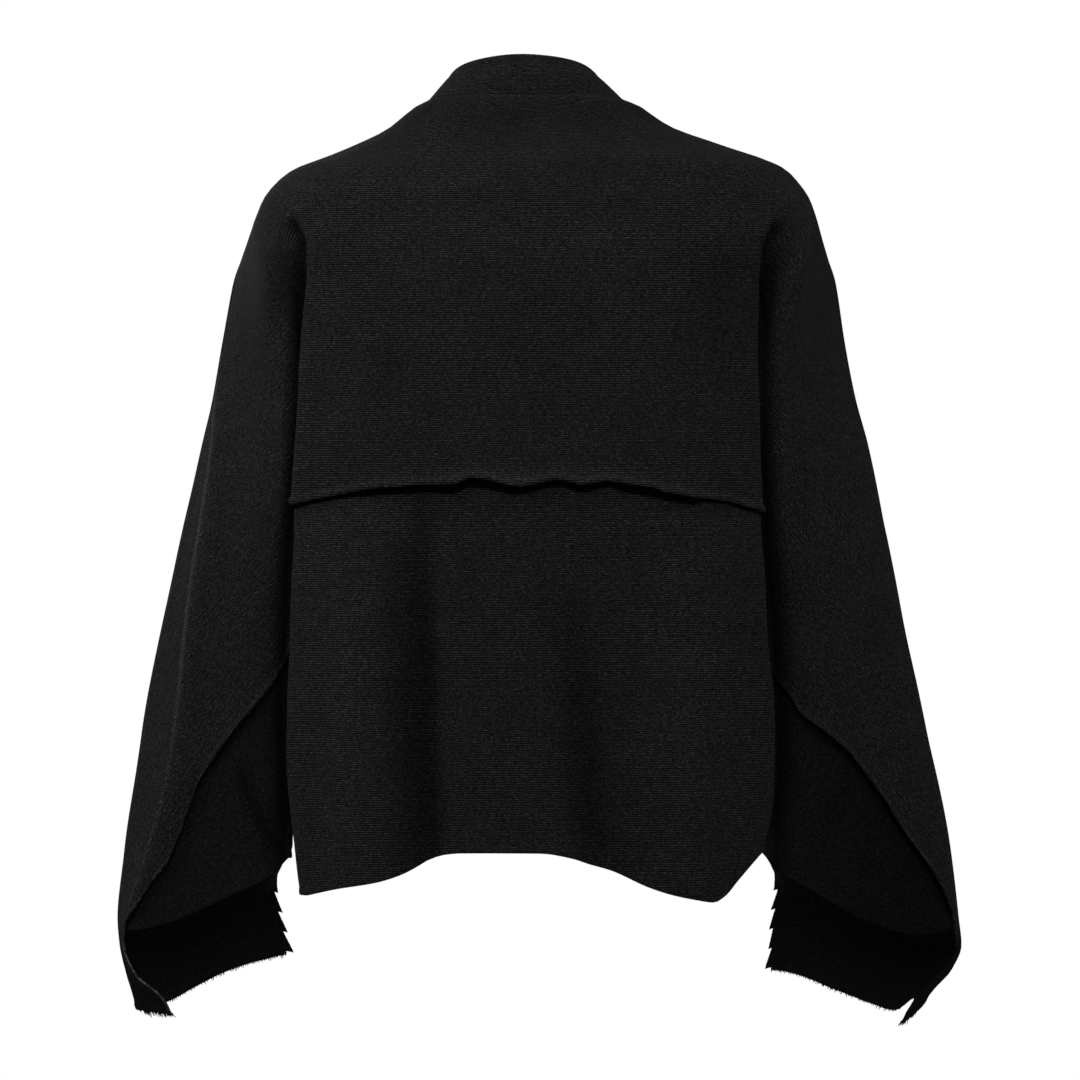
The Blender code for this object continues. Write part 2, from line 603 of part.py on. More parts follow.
def back_rows(side, t, row):
    """Drop of mesh row `row` of the upper back at t."""
    ridge = np.array(RIDGE_ROWS, float)
    count = len(ridge) - 1
    top = neck_top(t)
    share = (ridge[row] - ridge[0]) / (ridge[-1] - ridge[0])
    even = (row / count) ** 1.15
    mix = ease(0.25, 0.95, t)
    lip = lip_drop(side, t)
    plain = top + (lip - top) * (even * (1 - mix) + share * mix)
    band = lip - LIP_DEPTH
    spread = top + (band - top) * np.minimum(1.0, (row / (count - 2)) ** 1.15)
    spread = np.where(row == count - 1, lip - 0.42 * LIP_DEPTH, spread)
    spread = np.where(row == count, lip, spread)
    keep = ease(0.8, 0.5, t)
    return np.where(row == count, lip, plain * (1 - keep) + spread * keep)


def flare(x, t, up):
    """How far the rolled edge stands off the panel, at a height above its edge."""
    size = smooth(LIP_FLARE, x) * ease(0.5, 0.36, t) + SLEEVE_FLARE * ease(0.5, 0.6, t)
    return size * ease(1.15 * LIP_DEPTH, 0.0, up) * ease(1.0, 0.96, t)


def upper_back():
    """Yoke and both sleeve backs in one piece."""
    cloth = Cloth("upper_back")
    rows = len(RIDGE_ROWS) - 1
    a_values = np.concatenate([-BACK_T[:0:-1], BACK_T])

    def place(i, j):
        a = a_values[i]
        t = np.abs(a)
        drop = np.zeros(len(a))
        off = np.zeros(len(a))
        for side in (1, -1):
            mask = (a >= 0) if side > 0 else (a < 0)
            drop[mask] = back_rows(side, t[mask], j[mask])
            up = lip_drop(side, t[mask]) - drop[mask]
            x = surface(side, t[mask], drop[mask])[:, 0]
            off[mask] = flare(x, t[mask], up)
        points, normals = both_sides(a, drop, -off)
        for side in (1, -1):
            mask = (a >= 0) if side > 0 else (a < 0)
            points[mask] = seam_step(points[mask], side, t[mask], drop[mask], 1.0, -1, True)
        return points, normals

    cloth.grid(len(a_values) - 1, rows, place)
    return cloth


def lower_back():
    """Panel under the rolled edge, from side to side."""
    cloth = Cloth("lower_back")
    t_end = GROOVE - 0.010
    half = np.append(BACK_T[BACK_T < 0.48], t_end)
    a_values = np.concatenate([-half[:0:-1], half])
    rows = 10

    def place(i, j):
        a = a_values[i]
        t = np.abs(a)
        top = np.zeros(len(a))
        hem = np.zeros(len(a))
        for side in (1, -1):
            mask = (a >= 0) if side > 0 else (a < 0)
            tt = t[mask]
            lap = LAP * ease(0.40, 0.36, tt) - 0.5 * ease(0.36, 0.40, tt) - 2.0 * ease(0.40, 0.46, tt)
            top[mask] = lip_drop(side, tt) - lap
            x = surface(side, np.minimum(tt, 0.34), 640.0, False)[:, 0]
            side_hem = 632.0 if side > 0 else 625.0
            k = ease(0.345, 0.47, tt)
            hem[mask] = smooth(HEM_BACK, x) * (1 - k) + side_hem * k
        drop = top + (hem - top) * (j / rows)
        inset = LAP_INSET * ease(0.495, 0.42, t)
        return both_sides(a, drop, inset, False)

    cloth.grid(len(a_values) - 1, rows, place)
    return cloth


def under_sleeve(side):
    """Panel below the sleeve's lapped seam, from the inner seam to the outer corner of the cuff."""
    cloth = Cloth("under_sleeve_left" if side > 0 else "under_sleeve_right")
    shared = BACK_T[(BACK_T > 0.52) & (BACK_T < 0.97)]
    t_values = np.concatenate([[GROOVE + 0.012], shared, [0.975]])
    rows = 9

    def place(i, j):
        t = t_values[i]
        lap = LAP * ease(0.58, 0.66, t) - 0.5 * ease(0.62, 0.58, t) - ease(0.58, 0.52, t)
        top = lip_drop(side, t) - lap
        drop = top + (hem_drop(side, t) - top) * (j / rows)
        normals = outward(side, t, drop, True)
        inset = LAP_INSET * ease(0.505, 0.56, t)
        return surface(side, t, drop, True) - normals * inset[:, None], normals

    cloth.grid(len(t_values) - 1, rows, place, flip=side < 0)
    return cloth


def front(side):
    """Front of the body and front of the sleeve, cut in one, with the long open cuff."""
    cloth = Cloth("front_left" if side > 0 else "front_right")
    ridge = np.array(RIDGE_ROWS + CUFF_ROWS + (CUFF_FLAP_HEM[side],), float)
    split = RIDGE_ROWS.index(ARMPIT_DROP)
    upper_t = np.concatenate([FRONT_SLEEVE_T, FRONT_BODY_T[1:]])

    def finish(t, drop, of_sleeve):
        points = surface(side, t, drop, of_sleeve)
        whole = (drop <= ARMPIT_DROP + 0.001)[:, None]
        normals = np.where(whole, outward(side, t, drop), outward(side, t, drop, of_sleeve))
        return seam_step(points, side, t, drop, 1.0, 1, True), normals

    def upper(i, j):
        t = upper_t[i]
        top = neck_top(t)
        share = (ridge[j] - ridge[0]) / (ARMPIT_DROP - ridge[0])
        mix = ease(2.0, 1.64, t)
        drop = top + (ARMPIT_DROP - top) * (share * mix + (j / split) ** 1.1 * (1 - mix))
        return finish(t, drop, (t >= GROOVE) & (t <= 2 - GROOVE))

    def sleeve(i, j):
        t = FRONT_SLEEVE_T[i]
        hem = cuff_drop(side, t)
        share = (ridge[split + j] - ARMPIT_DROP) / (ridge[-1] - ARMPIT_DROP)
        return finish(t, ARMPIT_DROP + (hem - ARMPIT_DROP) * share, True)

    def body(i, j):
        t = FRONT_BODY_T[i]
        hem = smooth(FRONT_HEM, t)
        return finish(t, ARMPIT_DROP + (hem - ARMPIT_DROP) * j / 7, False)

    cloth.grid(len(upper_t) - 1, split, upper, flip=side < 0)
    cloth.grid(len(FRONT_SLEEVE_T) - 1, len(ridge) - 1 - split, sleeve, flip=side < 0)
    cloth.grid(len(FRONT_BODY_T) - 1, 7, body, flip=side < 0)
    return cloth


def cuff_tufts(side):
    """Strip along the open inner edge of a cuff front, with hooked yarn ends."""
    cloth = Cloth("cuff_tufts_left" if side > 0 else "cuff_tufts_right")
    shares = [(k + s) / TUFT_COUNT for k in range(TUFT_COUNT) for s in TUFT_SHARES]
    out = np.array([s**1.6 if s < 0.9 else 0.06 for _ in range(TUFT_COUNT) for s in TUFT_SHARES])
    shares = np.array(shares)
    low = cuff_drop(side, np.array([1.5]))[0] - 1.5

    def place(i, j):
        drop = TUFT_TOP[side] + (low - TUFT_TOP[side]) * shares[i]
        inner_t = np.full(len(i), 2 - GROOVE)
        edge = surface(side, inner_t, drop, True)
        away = edge - surface(side, inner_t - 0.006, drop, True)
        away /= np.linalg.norm(away, axis=1)[:, None]
        spread = np.where(j == 2, TUFT_ROOT + TUFT_LENGTH * out[i], 0.6 * TUFT_ROOT * (j == 1))
        reach = 1.3 * SEAM_GAP + spread
        points = edge + away * reach[:, None]
        points[:, 2] -= TUFT_HOOK * out[i] * (j == 2)
        return points, outward(side, inner_t - 0.004, drop, True)

    cloth.grid(len(shares) - 1, 2, place, flip=side > 0)
    return cloth


def collar():
    """Funnel stand round the neck, open at the front."""
    cloth = Cloth("collar", COLLAR_WALL)
    half = np.concatenate([BACK_T, FRONT_SLEEVE_T[1:], FRONT_BODY_T[1:]])[::2]
    if half[-1] != 2.0:
        half = np.append(half, 2.0)
    a_values = np.concatenate([-half[:0:-1], half])
    rows = 3

    def ring(a, share):
        t = np.abs(a)
        side = np.where(a >= 0, 1.0, -1.0)
        left, right = neck_ring(1, t), neck_ring(-1, t)
        base = np.where((side > 0)[:, None], left, right)
        angle = np.radians(np.interp(t, (0, 0.5, 1.0, 1.5, 2.0), (0, 62, 90, 120, 171)))
        front_part = np.clip(angle / (np.pi / 2) - 1, 0, 1)
        lean = 8.0 * (1 - 0.5 * front_part)
        top_x = lean + side * 60.0 * np.sin(angle)
        top_y = np.where(t <= 1, 45.0, 52.0) * np.cos(angle)
        top_z = COLLAR_HEIGHT - 17.0 * (1 - np.cos(angle)) - 36.0 * front_part**1.5
        bottom_z = -neck_top(t) + 0.4
        bow = 2.0 * np.sin(np.pi * share)
        x = side * base[:, 0] * (1 - share) + top_x * share
        y = base[:, 1] * (1 - share) + top_y * share
        z = bottom_z * (1 - share) + top_z * share
        return np.stack([x + bow * side * np.sin(angle) * 0.4, y + bow * np.cos(angle), z], axis=1)

    def place(i, j):
        a = a_values[i]
        share = j / rows
        points = ring(a, share)
        along = ring(a + 0.004, share) - ring(a - 0.004, share)
        up = ring(a, share + 0.02) - ring(a, share - 0.02)
        normals = np.cross(up, along)
        level = normals / np.linalg.norm(normals, axis=1)[:, None]
        level[:, 2] *= share > 0
        level /= np.linalg.norm(level, axis=1)[:, None]
        return points, level

    cloth.grid(len(a_values) - 1, rows, place, flip=True)
    return cloth


def main():
    for thing in list(bpy.data.objects):
        bpy.data.objects.remove(thing, do_unlink=True)
    collection = bpy.data.collections.new("cardigan")
    bpy.context.scene.collection.children.link(collection)
    pieces = [collar(), upper_back(), lower_back(), front(1), front(-1), under_sleeve(1),
              under_sleeve(-1), cuff_tufts(1), cuff_tufts(-1)]
    for cloth in pieces:
        cloth.finish(collection)


main()
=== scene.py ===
"""Black knitted cardigan in its worn form: kimono back with a free rolled lower edge, a lower
back panel under it, dropped sleeves with long open cuffs, a funnel collar and an open front."""

import bpy
import numpy as np
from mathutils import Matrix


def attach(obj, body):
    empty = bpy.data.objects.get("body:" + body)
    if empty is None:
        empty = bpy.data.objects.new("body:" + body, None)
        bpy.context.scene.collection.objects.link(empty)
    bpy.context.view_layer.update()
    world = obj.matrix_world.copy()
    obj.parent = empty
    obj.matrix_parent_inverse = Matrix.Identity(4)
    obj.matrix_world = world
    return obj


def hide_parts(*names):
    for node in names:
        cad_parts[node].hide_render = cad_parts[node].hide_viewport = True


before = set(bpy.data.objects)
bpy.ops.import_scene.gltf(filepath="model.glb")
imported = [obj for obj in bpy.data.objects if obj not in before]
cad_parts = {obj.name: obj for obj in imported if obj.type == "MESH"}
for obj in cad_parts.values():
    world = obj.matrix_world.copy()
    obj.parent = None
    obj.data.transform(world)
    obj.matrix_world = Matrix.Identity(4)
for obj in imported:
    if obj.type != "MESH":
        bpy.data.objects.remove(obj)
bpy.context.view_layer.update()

# ---- Upper back ---------------------------------------------------------------------------
# Yoke and both sleeve backs are one kimono piece of dense, matt black knit.  Its courses lie
# level across the back and bend down along the sleeves.  The lower edge is left free, stands
# a little off the panel below and rolls outward; down the sleeves it is lapped and stitched.

# All sizes are in millimetres.  A place on the garment is given by t, which runs from 0 at the
# middle of the back over the arm at 1 to 2 at the front edge, and by drop, the distance below
# the neck seam.  The wearer's left is at positive x and is side 1.
SIDES = {1: "left", -1: "right"}
WALL = 2.0              # thickness of the knit
CRISP = 0.08            # share of the wall by which a seamed edge is rounded
SEAM_GAP = 0.3          # between two pieces that meet edge to edge
LAP = 12.0              # how far a lapped piece reaches up under the one above it
LAP_INSET = 2.6         # and how far in it lies there
SHOULDER_DROP = 105.0   # below this level the sections are cut level
FULL_DROP = 158.0       # and from here on they have their full shape
ARMPIT_DROP = 400.0
ARMPIT_BLEND = 16.0     # height over which sleeve and body part below the armpit
CUFF_OPEN_DROP = 630.0  # below this level the cuff is open on its inner side
BODY_SLEEVE_GAP = 4.4
GROOVE = 0.5            # t at the groove between body and sleeve
LIP_LEVEL = 335.0       # level at which x is read for the rolled edge
LIP_ARMPIT = 398.4      # drop of the rolled edge inside the armpit
LIP_CORNER = 690.0      # and where it ends at the arm's outer side
LIP_DEPTH = 14.0        # height of the band that flares at the rolled edge
SLEEVE_FLARE = 1.6

# sections of the body
TORSO = (
    ("drop", "spine", "fold_left", "fold_right", "fold_y", "groove", "chest", "gap"),
    (105, 98, 189, 193, 80, 76, 92, 12),
    (150, 106, 188, 190, 79, 68, 110, 13),
    (204, 111, 192, 187, 79, 58, 119, 14),
    (260, 114, 194, 187, 80, 46, 124, 15),
    (344, 116, 199, 190, 81, 23, 126, 17),
    (376, 115.5, 200.5, 192, 81, 13, 126, 17.5),
    (393, 115, 201.5, 193.5, 81, 6, 125, 18),
    (400, 115, 202, 194, 81, 0, 125, 18),
    (455, 114, 203.5, 197, 80, 0, 124, 19),
    (505, 113, 206, 202, 79, 0, 123, 20),
    (554, 113, 207, 203.5, 78, 0, 122, 21),
    (588, 113, 204.5, 202, 76, 0, 121, 22),
    (629, 112, 200, 194, 74, 0, 120, 22),
    (675, 111, 194, 187, 70, 0, 119, 22),
)

# sections of the sleeves: ridge along the arm, outer edge, inner side, depths back and front
SLEEVE_COLUMNS = ("drop", "ridge_x", "ridge_y", "edge_x", "edge_y", "slope", "inner", "crest",
                  "front")
SLEEVES = {1: (
    SLEEVE_COLUMNS,
    (105, 235.5, -8, 236, -12, 80, 188, 78, 74),
    (150, 249.5, -8, 250, -12, 76, 188, 77, 70),
    (204, 259, -2, 259.5, -10, 66, 189, 72, 66),
    (254, 267, 8, 268.5, -8, 50, 190, 67, 62),
    (290, 269.5, 19, 277.5, -8, 34, 190, 64, 60),
    (360, 278.6, 32, 294, -8, 20, 191, 59, 57),
    (431, 289.5, 38, 309.5, -8, 16, 193, 56, 54),
    (501, 296, 41, 323.5, -6, 14, 196, 55, 52),
    (572, 306, 42, 335, -4, 14, 199.5, 55, 51),
    (636, 323.3, 34, 344, -4, 18, 202.5, 53, 50),
    (689, 341.5, 20, 349, -2, 34, 204, 48, 49),
    (710, 344, 13, 347, -2, 44, 204, 44, 48),
    (738, 330, 34, 341, 0, 10, 204, 44, 46),
    (752, 311, 41, 337, 2, 4, 204, 44, 44),
    (768, 301, 43, 333, 4, 4, 204, 44, 42),
), -1: (
    SLEEVE_COLUMNS,
    (105, 240, -8, 240.5, -12, 80, 190, 78, 74),
    (150, 252, -8, 252.5, -12, 76, 186, 77, 70),
    (204, 260.5, -4, 261, -10, 70, 184, 72, 66),
    (254, 270, 0, 270.5, -9, 66, 184, 67, 62),
    (290, 279.5, 3, 280, -8, 64, 184, 64, 60),
    (360, 293.5, 8, 294.5, -6, 60, 184, 59, 57),
    (431, 307, 12, 308.5, -4, 56, 185, 56, 54),
    (501, 321, 15, 323, -4, 52, 187, 55, 52),
    (572, 336, 18, 338.5, -4, 50, 189, 55, 51),
    (636, 348, 20, 350.6, -2, 50, 190.6, 53, 50),
    (689, 353.5, 20, 356.6, -2, 50, 192, 48, 49),
    (712, 355, 18, 359, 0, 50, 192, 44, 48),
    (733, 343, 22, 351, 0, 40, 192, 42, 46),
    (750, 325, 26, 336, 2, 30, 192, 40, 44),
    (776, 308, 28, 319, 6, 20, 192, 38, 40),
)}

# open inner edge of the long cuff front
CUFF_EDGE = (
    ("drop", "left", "right", "depth"),
    (400, 0, 0, 0),
    (630, 0, 0, 0),
    (643, 7, 8, 14),
    (656, 13.5, 14, 32),
    (667, 15.5, 15.5, 44),
    (676, 14, 14.5, 46),
    (688, 11.5, 12.5, 46),
    (704, 7.5, 11, 46),
    (735, 4, 9.5, 44),
    (776, 4, 9.5, 42),
)

# shoulder line
SHOULDER = (
    ("drop", "left", "right"),
    (3, 87.5, 75.5), (6, 94.5, 85), (9, 99.5, 92), (19, 112, 106), (28, 123, 122), (36, 139, 144),
    (45, 160, 170), (53, 180, 196), (61, 200, 213), (70, 213, 222), (86, 227, 233),
    (105, 235.5, 240),
)

# rolled edge as seen from behind, x and drop, and how far it stands off at x
LIP_BACK = (
    (-193, 350.5), (-185.5, 347.1), (-173.5, 344.2), (-164.6, 341.1), (-149.5, 338.9),
    (-134.7, 337.4), (-120, 334.4), (-109, 332.8), (-97.4, 328.8), (-82.8, 327), (-68, 324.1),
    (-58.5, 323.4), (-51, 325), (-43.7, 327.5), (-34.4, 325.8), (-21.8, 322.1), (-10, 324.1),
    (-2.5, 325.9), (5, 328.3), (14.3, 328.3), (29.4, 324.6), (41.2, 322.1), (51.2, 320.9),
    (58, 322.6), (63, 325.9), (75.6, 326.5), (89.3, 326.8), (111.7, 328.3), (134.4, 330),
    (156.5, 334.1), (178.9, 338.5), (200.2, 343),
)
LIP_SLEEVE = {1: (
    (190, 398.4), (197, 425), (202, 452), (206, 472), (227, 505), (248, 529.5), (270, 560),
    (278, 572.5), (283.5, 587), (288, 606), (296, 620), (304.5, 642), (318, 657), (330.5, 677),
    (341.5, 690),
), -1: (
    (184, 398.4), (190, 425), (196, 455), (201.5, 486), (211.5, 498), (223.5, 517), (240.5, 529.5),
    (258, 544), (270, 556.5), (282, 573.5), (294.5, 590.5), (309.5, 615), (324, 635),
    (339.5, 658), (348, 676), (353.5, 690),
)}
LIP_FLARE = (
    (-195, 1.2), (-150, 3), (-110, 5), (-92, 7.5), (-77, 5), (-62, 5.5), (-40, 8.5), (-19, 5.5),
    (11, 9), (38, 5), (60, 7.5), (90, 6.5), (130, 4), (170, 2), (200, 1.2),
)

# soft vertical troughs in the lower back, which the whole back shares: drop, x and depth
TROUGHS = (
    ((330, 86, 0), (400, 90, 2.5), (505, 92, 6), (600, 86, 7), (655, 80, 5)),
    ((380, -42, 0), (450, -38, 1.5), (540, -40, 4), (620, -54, 4.5), (655, -58, 3)),
)
TROUGH_WIDTH = 21.0


def smooth(rows, x, column=1):
    """A smooth value from a table at x, never past its rows (monotone cubic)."""
    table = np.asarray(rows, float)
    xs, ys = table[:, 0], table[:, column]
    step = np.diff(xs)
    slope = np.diff(ys) / step
    tangent = np.zeros_like(ys)
    tangent[0], tangent[-1] = slope[0], slope[-1]
    same = slope[:-1] * slope[1:] > 0
    both = np.where(same, slope[:-1] * slope[1:] * 2, 0.0)
    total = np.where(same, slope[:-1] + slope[1:], 1.0)
    tangent[1:-1] = both / total
    x = np.clip(np.asarray(x, float), xs[0], xs[-1])
    k = np.clip(np.searchsorted(xs, x, side="right") - 1, 0, len(step) - 1)
    h = step[k]
    u = (x - xs[k]) / h
    a = (1 + 2 * u) * (1 - u) ** 2
    b = u * (1 - u) ** 2
    c = u * u * (3 - 2 * u)
    e = u * u * (u - 1)
    return a * ys[k] + b * h * tangent[k] + c * ys[k + 1] + e * h * tangent[k + 1]


def column(sections, name, drop):
    """One named column of a table of sections at the given drops; its first row has the names."""
    return smooth(sections[1:], drop, sections[0].index(name))


def columns(sections, names, drop):
    """Several columns at once."""
    return [column(sections, name, drop) for name in names.split()]


def ease(low, high, x):
    """0 below low, 1 above high, smooth between."""
    u = np.clip((np.asarray(x, float) - low) / (high - low), 0.0, 1.0)
    return u * u * (3 - 2 * u)


def unit(vectors):
    """Vectors of length one in the same directions."""
    return vectors / np.maximum(np.linalg.norm(vectors, axis=1), 1e-9)[:, None]


def runs(*spans):
    """Even steps over spans of (from, to, count) that follow one another."""
    return np.concatenate([np.linspace(*spans[0])] + [np.linspace(*s)[1:] for s in spans[1:]])


def gridded(shape, *fields):
    """Fields of a patch, back in its rows and columns."""
    return [field.reshape(shape + field.shape[1:]) for field in fields]


def troughs(x, drop):
    """Depth of the troughs at x and drop."""
    return sum(smooth(rows, drop, 2) * np.exp(-((x - smooth(rows, drop)) / TROUGH_WIDTH) ** 2)
               for rows in TROUGHS)


def spline(points, u):
    """Uniform cubic B-spline that starts and ends on its first and last control points.

    points is (samples, controls, 2) and u is 0 to 1 for each sample."""
    first = 2 * points[:, :1] - points[:, 1:2]
    last = 2 * points[:, -1:] - points[:, -2:-1]
    points = np.concatenate([first, points, last], axis=1)
    spans = points.shape[1] - 3
    s = np.clip(u, -0.05, 1.05) * spans
    k = np.clip(np.floor(s).astype(int), 0, spans - 1)
    f = s - k
    weights = ((1 - f) ** 3, 3 * f**3 - 6 * f**2 + 4, -3 * f**3 + 3 * f**2 + 3 * f + 1, f**3)
    rows = np.arange(len(k))
    return sum(w[:, None] * points[rows, k + i] for i, w in enumerate(weights)) / 6


def stack(pairs, count):
    """Control points from (x, y) pairs that are arrays or single values."""
    return np.stack([np.stack([np.broadcast_to(np.asarray(v, float), (count,)) for v in pair],
                              axis=1) for pair in pairs], axis=1)


def oval(half_width, centre, depth, shares, power):
    """Points on a plain rounded section, at shares 0 to 1 of its quarter turn."""
    pairs = []
    for share in shares:
        angle = share * np.pi / 2
        pairs.append((half_width * np.sin(angle) ** (2 / power),
                      centre + depth * np.cos(angle) ** (2 / power)))
    return pairs


def body_numbers(side, drop):
    """The named values of the body's section and of the slot between body and sleeve."""
    fold_x, fold_y, groove = columns(TORSO, "fold_" + SIDES[side] + " fold_y groove", drop)
    inner = column(SLEEVES[side], "inner", drop)
    deep = fold_y - groove
    closed = ease(5.0, 32.0, deep)
    wall_x = fold_x + 6.0 * (1 - closed) - np.minimum(14.0, 0.45 * deep) * closed
    limit = inner - BODY_SLEEVE_GAP + 14.0 * ease(ARMPIT_DROP, 290.0, drop)
    wall_x = np.minimum(wall_x, limit)
    wall_x = np.where(drop > ARMPIT_DROP, np.minimum(wall_x, fold_x - 4), wall_x)
    parted = ease(ARMPIT_DROP, ARMPIT_DROP + ARMPIT_BLEND, drop)
    half = BODY_SLEEVE_GAP / 2 + 3.5 * (1 - closed)
    return fold_x, fold_y, groove, inner, deep, closed, wall_x, parted, half


# the back from its middle towards the fold over the groove: shares of the way out and in
BODY_CURVE = ((0.0, 0.0), (0.27, 0.03), (0.54, 0.14), (0.79, 0.42), (0.94, 0.78))
OVALNESS = 3.3          # power of the plain rounded sections at the shoulders


def torso_controls(side, drop, back):
    """Control points of a quarter of the body, from its middle or front edge to the groove."""
    n = len(drop)
    fold_x, fold_y, groove, _, deep, closed, wall_x, parted, half = body_numbers(side, drop)
    ridge_x, ridge_y = columns(SLEEVES[side], "ridge_x ridge_y", drop)
    if back:
        start, middle = 0.0, column(TORSO, "spine", drop)
        centre, depth = ridge_y, middle - ridge_y
    else:
        start, middle = columns(TORSO, "gap chest", drop)
        fold_x = fold_x - 3.0
        centre, depth = -ridge_y, middle + ridge_y
    fall = middle - fold_y
    fillet = np.minimum(4.0, 0.2 * deep)
    bend = np.minimum(15.0, 0.55 * deep)
    grooved = stack([(start + out * (fold_x - start), middle - down * fall)
                     for out, down in BODY_CURVE] + [
        (fold_x + 0.6, fold_y + 1.0),
        (fold_x + 1.2, fold_y - np.minimum(6.0, 0.25 * deep)),
        (fold_x + 3.0 * (1 - closed) - np.minimum(5.0, 0.3 * deep) * closed, fold_y - bend),
        (wall_x, groove + 0.42 * (deep - bend)),
        (wall_x, groove + fillet),
        (wall_x + half * (1 - parted), groove),
    ], n)
    shares = (0.0, 0.155, 0.30, 0.405, 0.475, 0.512, 0.53, 0.545, 0.558, 0.571, 0.584)
    plain = stack(oval(ridge_x, centre, depth, shares, OVALNESS), n)
    plain[:, 0, 0] = start
    if not back:
        plain[:, 1:, 0] = start[:, None] + plain[:, 1:, 0] * ((ridge_x - start) / ridge_x)[:, None]
    q = ease(SHOULDER_DROP, FULL_DROP, drop)[:, None, None]
    points = plain * (1 - q) + grooved * q
    if not back:
        points[:, :, 1] *= -1
    return points


def sleeve_controls(side, drop):
    """Control points of a sleeve from the back groove over the ridge to the front groove."""
    n = len(drop)
    _, _, groove, inner, deep, closed, wall_x, parted, half = body_numbers(side, drop)
    ridge_x, ridge_y, edge_x, edge_y, slope, crest, front = columns(
        SLEEVES[side], "ridge_x ridge_y edge_x edge_y slope crest front", drop)
    inset, cuff_depth = columns(CUFF_EDGE, SIDES[side] + " depth", drop)
    slope = np.radians(slope)
    start_x = wall_x + half * (1 - parted) + (inner - wall_x) * parted
    wall_out = wall_x + 2 * half + (inner - wall_x - 2 * half) * parted
    rise = crest - groove
    width = ridge_x - wall_out
    fillet = np.minimum(4.0, 0.2 * deep)
    before = (ridge_x - 17 * np.cos(slope), ridge_y + 17 * np.sin(slope))
    after = (ridge_x + 0.5 * (edge_x - ridge_x), ridge_y + 0.5 * (edge_y - ridge_y))
    high = (wall_out + (0.46 - 0.06 * closed) * width, crest)
    between = (0.45 * high[0] + 0.55 * before[0],
               0.38 * high[1] + 0.62 * before[1] + 3.0 * np.sin(slope))
    corner = (edge_x - 13, edge_y - 0.62 * (front + edge_y))
    ridge = ((6 * ridge_x - before[0] - after[0]) / 4, (6 * ridge_y - before[1] - after[1]) / 4)
    edge = ((6 * edge_x - after[0] - corner[0]) / 4, edge_y)
    front_groove = np.minimum(-groove, -cuff_depth)
    open_cuff = ease(CUFF_OPEN_DROP, CUFF_OPEN_DROP + 20.0, drop)
    front_wall = wall_out + inset
    front_width = edge_x - front_wall
    grooved = stack([
        (start_x, groove),
        (wall_out, groove + fillet * np.sign(rise)),
        (wall_out + 0.5 + 0.10 * width * (1 - closed), groove + 0.45 * rise),
        (wall_out + (0.20 - 0.15 * closed) * width, groove + 0.84 * rise),
        (wall_out + (0.32 - 0.13 * closed) * width, crest + 0.3),
        high,
        between,
        before,
        ridge,
        after,
        edge,
        corner,
        (edge_x - 0.34 * front_width, -front),
        (front_wall + 0.32 * front_width, -front - 0.5),
        (front_wall + (0.16 - 0.08 * closed) * front_width + 5 * open_cuff,
         front_groove - 0.8 * (front + front_groove)),
        (front_wall + 3 * open_cuff, front_groove - fillet * (1 - open_cuff)),
        (start_x + inset, front_groove),
    ], n)
    back_shares = (0.584, 0.597, 0.612, 0.635, 0.67, 0.72, 0.79, 0.88, 1.0)
    front_shares = (0.93, 0.86, 0.79, 0.72, 0.67, 0.635, 0.605, 0.584)
    spine, chest, gap = columns(TORSO, "spine chest gap", drop)
    rear = stack(oval(ridge_x, ridge_y, spine - ridge_y, back_shares, OVALNESS), n)
    fore = stack(oval(ridge_x, -ridge_y, chest + ridge_y, front_shares, OVALNESS), n)
    fore[:, :, 0] = gap[:, None] + fore[:, :, 0] * ((ridge_x - gap) / ridge_x)[:, None]
    fore[:, :, 1] *= -1
    plain = np.concatenate([rear, fore], axis=1)
    q = ease(SHOULDER_DROP, FULL_DROP, drop)[:, None, None]
    return plain * (1 - q) + grooved * q


def level_section(side, t, drop, of_sleeve):
    """Points (x, y) of the level sections; x is positive away from the middle."""
    if of_sleeve:
        return spline(sleeve_controls(side, drop), t - GROOVE)
    back = spline(torso_controls(side, drop, True), t / GROOVE)
    front = spline(torso_controls(side, drop, False), (2 - t) / GROOVE)
    return np.where((t <= 1)[:, None], back, front)


NECK_TURN = ((0, 0.5, 1.0, 1.5, 2.0), (0, 62, 90, 120, 171))    # degrees round the neck, by t


def neck_top(t):
    """Drop of the neck seam at t."""
    return 3 * ease(0.3, 1.0, t) + 67 * ease(1.0, 2.05, t) ** 1.2


def neck_ring(side, t):
    """The neck seam from above: x away from the middle, and y."""
    wide = column(SHOULDER, SIDES[side], SHOULDER[1][0])
    angle = np.radians(np.interp(t, *NECK_TURN))
    depth = np.where(t <= 1, 52.0, 62.0)
    return np.stack([wide * np.sin(angle), depth * np.cos(angle)], axis=1)


